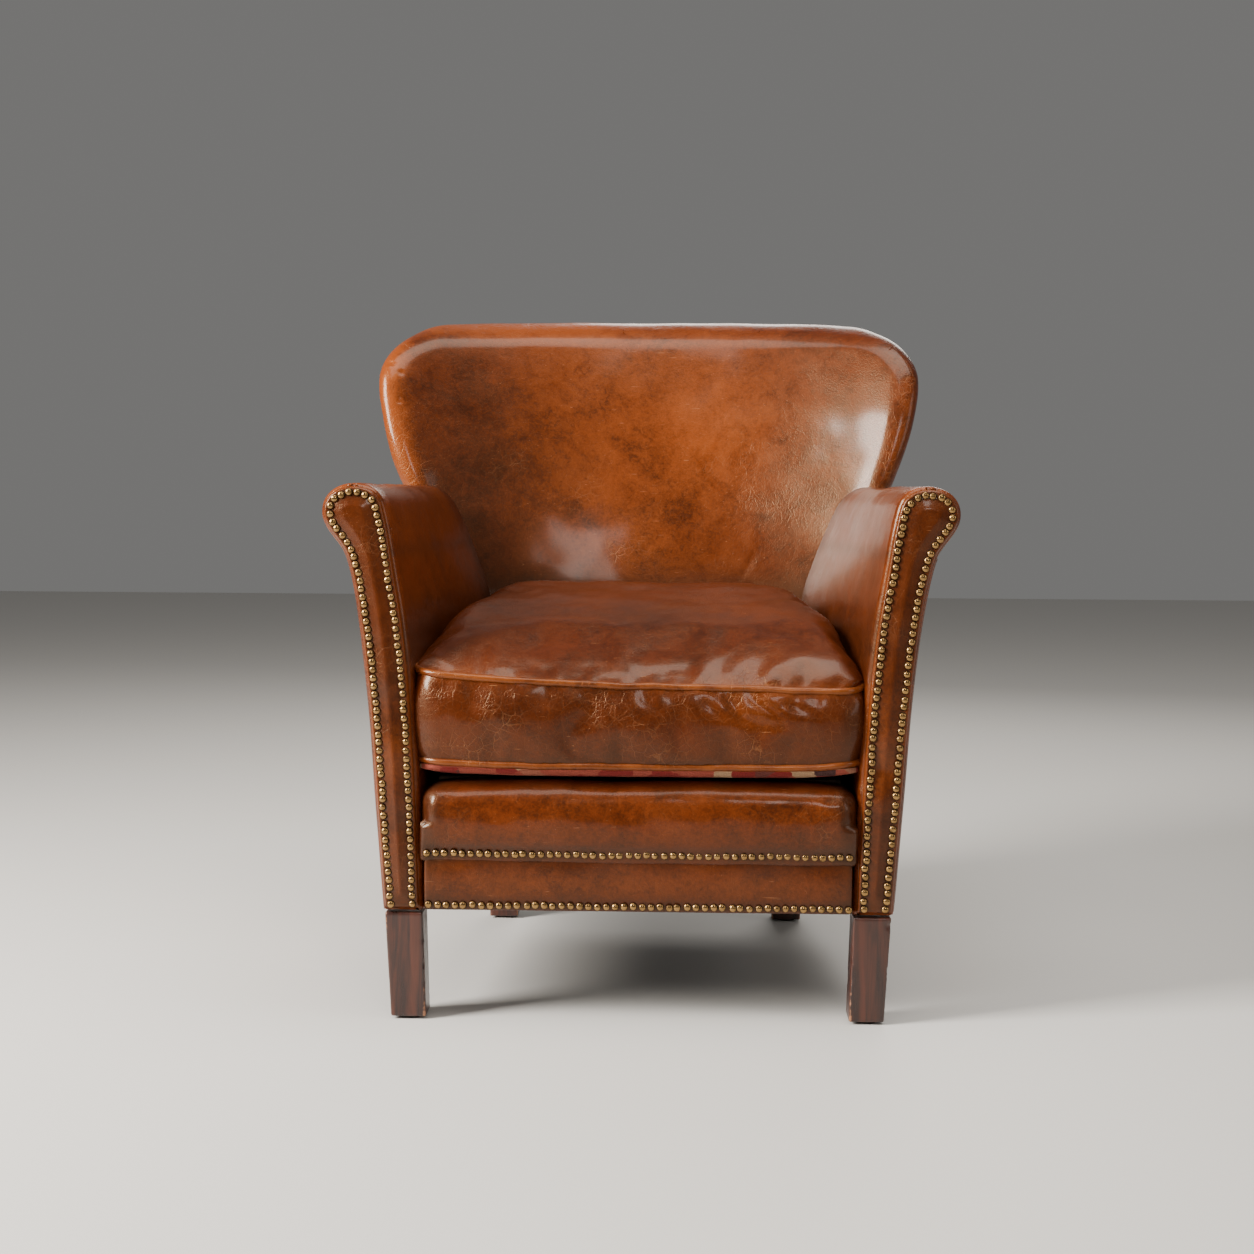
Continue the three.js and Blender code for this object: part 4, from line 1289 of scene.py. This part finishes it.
def spring_steel():
    material, nodes, shader, place = new_material("spring_steel")
    rust = nodes.ramp(nodes.noise(place, 70.0, 4.0, 0.65), 0.5, 0.75)
    nodes.feed(shader, "Base Color", nodes.mix(rust, (0.16, 0.155, 0.15, 1), (0.13, 0.05, 0.02, 1)))
    nodes.feed(shader, "Roughness", nodes.plus(nodes.times(rust, 0.4), 0.35))
    nodes.feed(shader, "Metallic", nodes.math("SUBTRACT", 1.0, rust))
    return material


def cloth_material(name, dark, light):
    material, nodes, shader, place = new_material(name)
    weave = nodes.cells(nodes.stretched(place, (900.0, 900.0, 900.0)), 1.0, "F1", 0.35)
    fluff = nodes.noise(place, 120.0, 4.0, 0.65)
    nodes.feed(shader, "Base Color", nodes.mix(nodes.times(weave, fluff), dark, light))
    nodes.feed(shader, "Roughness", 0.95)
    bump(nodes, shader, weave, 0.0004, 0.6)
    return material


timber, steel = plain_wood(), spring_steel()
black_cloth = cloth_material("black_cloth", (0.012, 0.012, 0.013, 1), (0.05, 0.048, 0.045, 1))
wadding = cloth_material("wadding", (0.36, 0.30, 0.22, 1), (0.60, 0.52, 0.40, 1))
for node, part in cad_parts.items():
    if "spring" in node:
        finish = steel
    elif any(word in node for word in ("rail", "block", "post", "board")):
        finish = timber
    else:
        continue
    part.data.materials.clear()
    part.data.materials.append(finish)


def seat_plan(across, along, low, high, halves):
    """Places a point of the square -1..1 in a plan whose half width follows halves(y)."""
    y = lerp(low[1], high[1], (along + 1) / 2)
    return Vector((across * halves(y), y, 0))


def make_deck_pad():
    low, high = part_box("deck_pad")
    bm = gridded_block((60, 50, 5))
    narrow = curve((low[1], high[0]), (0.058, 0.194), (high[1], 0.186))
    for vertex in bm.verts:
        x, y, z = vertex.co
        place = seat_plan(x, y, low, high, narrow)
        crown = (1 - x**4) * (1 - y**4)
        place.z = high[2] - 0.004 * (1 - crown) + lumps(place, 0.05, 0.001, 1.0) if z > 0 else low[2]
        if abs(z) < 0.99:
            place.z = lerp(low[2], high[2] - 0.004, (z + 1) / 2)
        vertex.co = place
    face_outward(bm)
    piece = new_object("deck_wadding", bm)
    finish_piece(piece, wadding, "padding", "deck_pad")


def make_cloth(node, halves, sag, seed):
    low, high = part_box(node)
    bm = bmesh.new()
    bmesh.ops.create_grid(bm, x_segments=70, y_segments=80, size=1)
    for vertex in bm.verts:
        x, y, _ = vertex.co
        place = seat_plan(x, y, low, high, halves)
        middle = (1 - x * x) * (1 - y * y)
        place.z = high[2] - 0.001 - sag * middle + lumps(place, 0.09, 0.0012, seed) * middle
        vertex.co = place
    piece, flat_area = walled(node + "_sheet", bm, (0, 0, 1), 0.0009)
    finish_piece(piece, black_cloth, "black_cloth", node)
    2 * halves(low[1])


make_deck_pad()
deck_low, deck_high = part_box("deck_cloth")
make_cloth("deck_cloth", curve((deck_low[1], 0.2355), (0.058, 0.1955), (deck_high[1], 0.186)), 0.0005, 3.0)
dust_low, dust_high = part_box("dust_cloth")
make_cloth("dust_cloth", curve((dust_low[1], 0.2665), (0.060, 0.232), (dust_high[1], 0.212)), 0.010, 8.0)

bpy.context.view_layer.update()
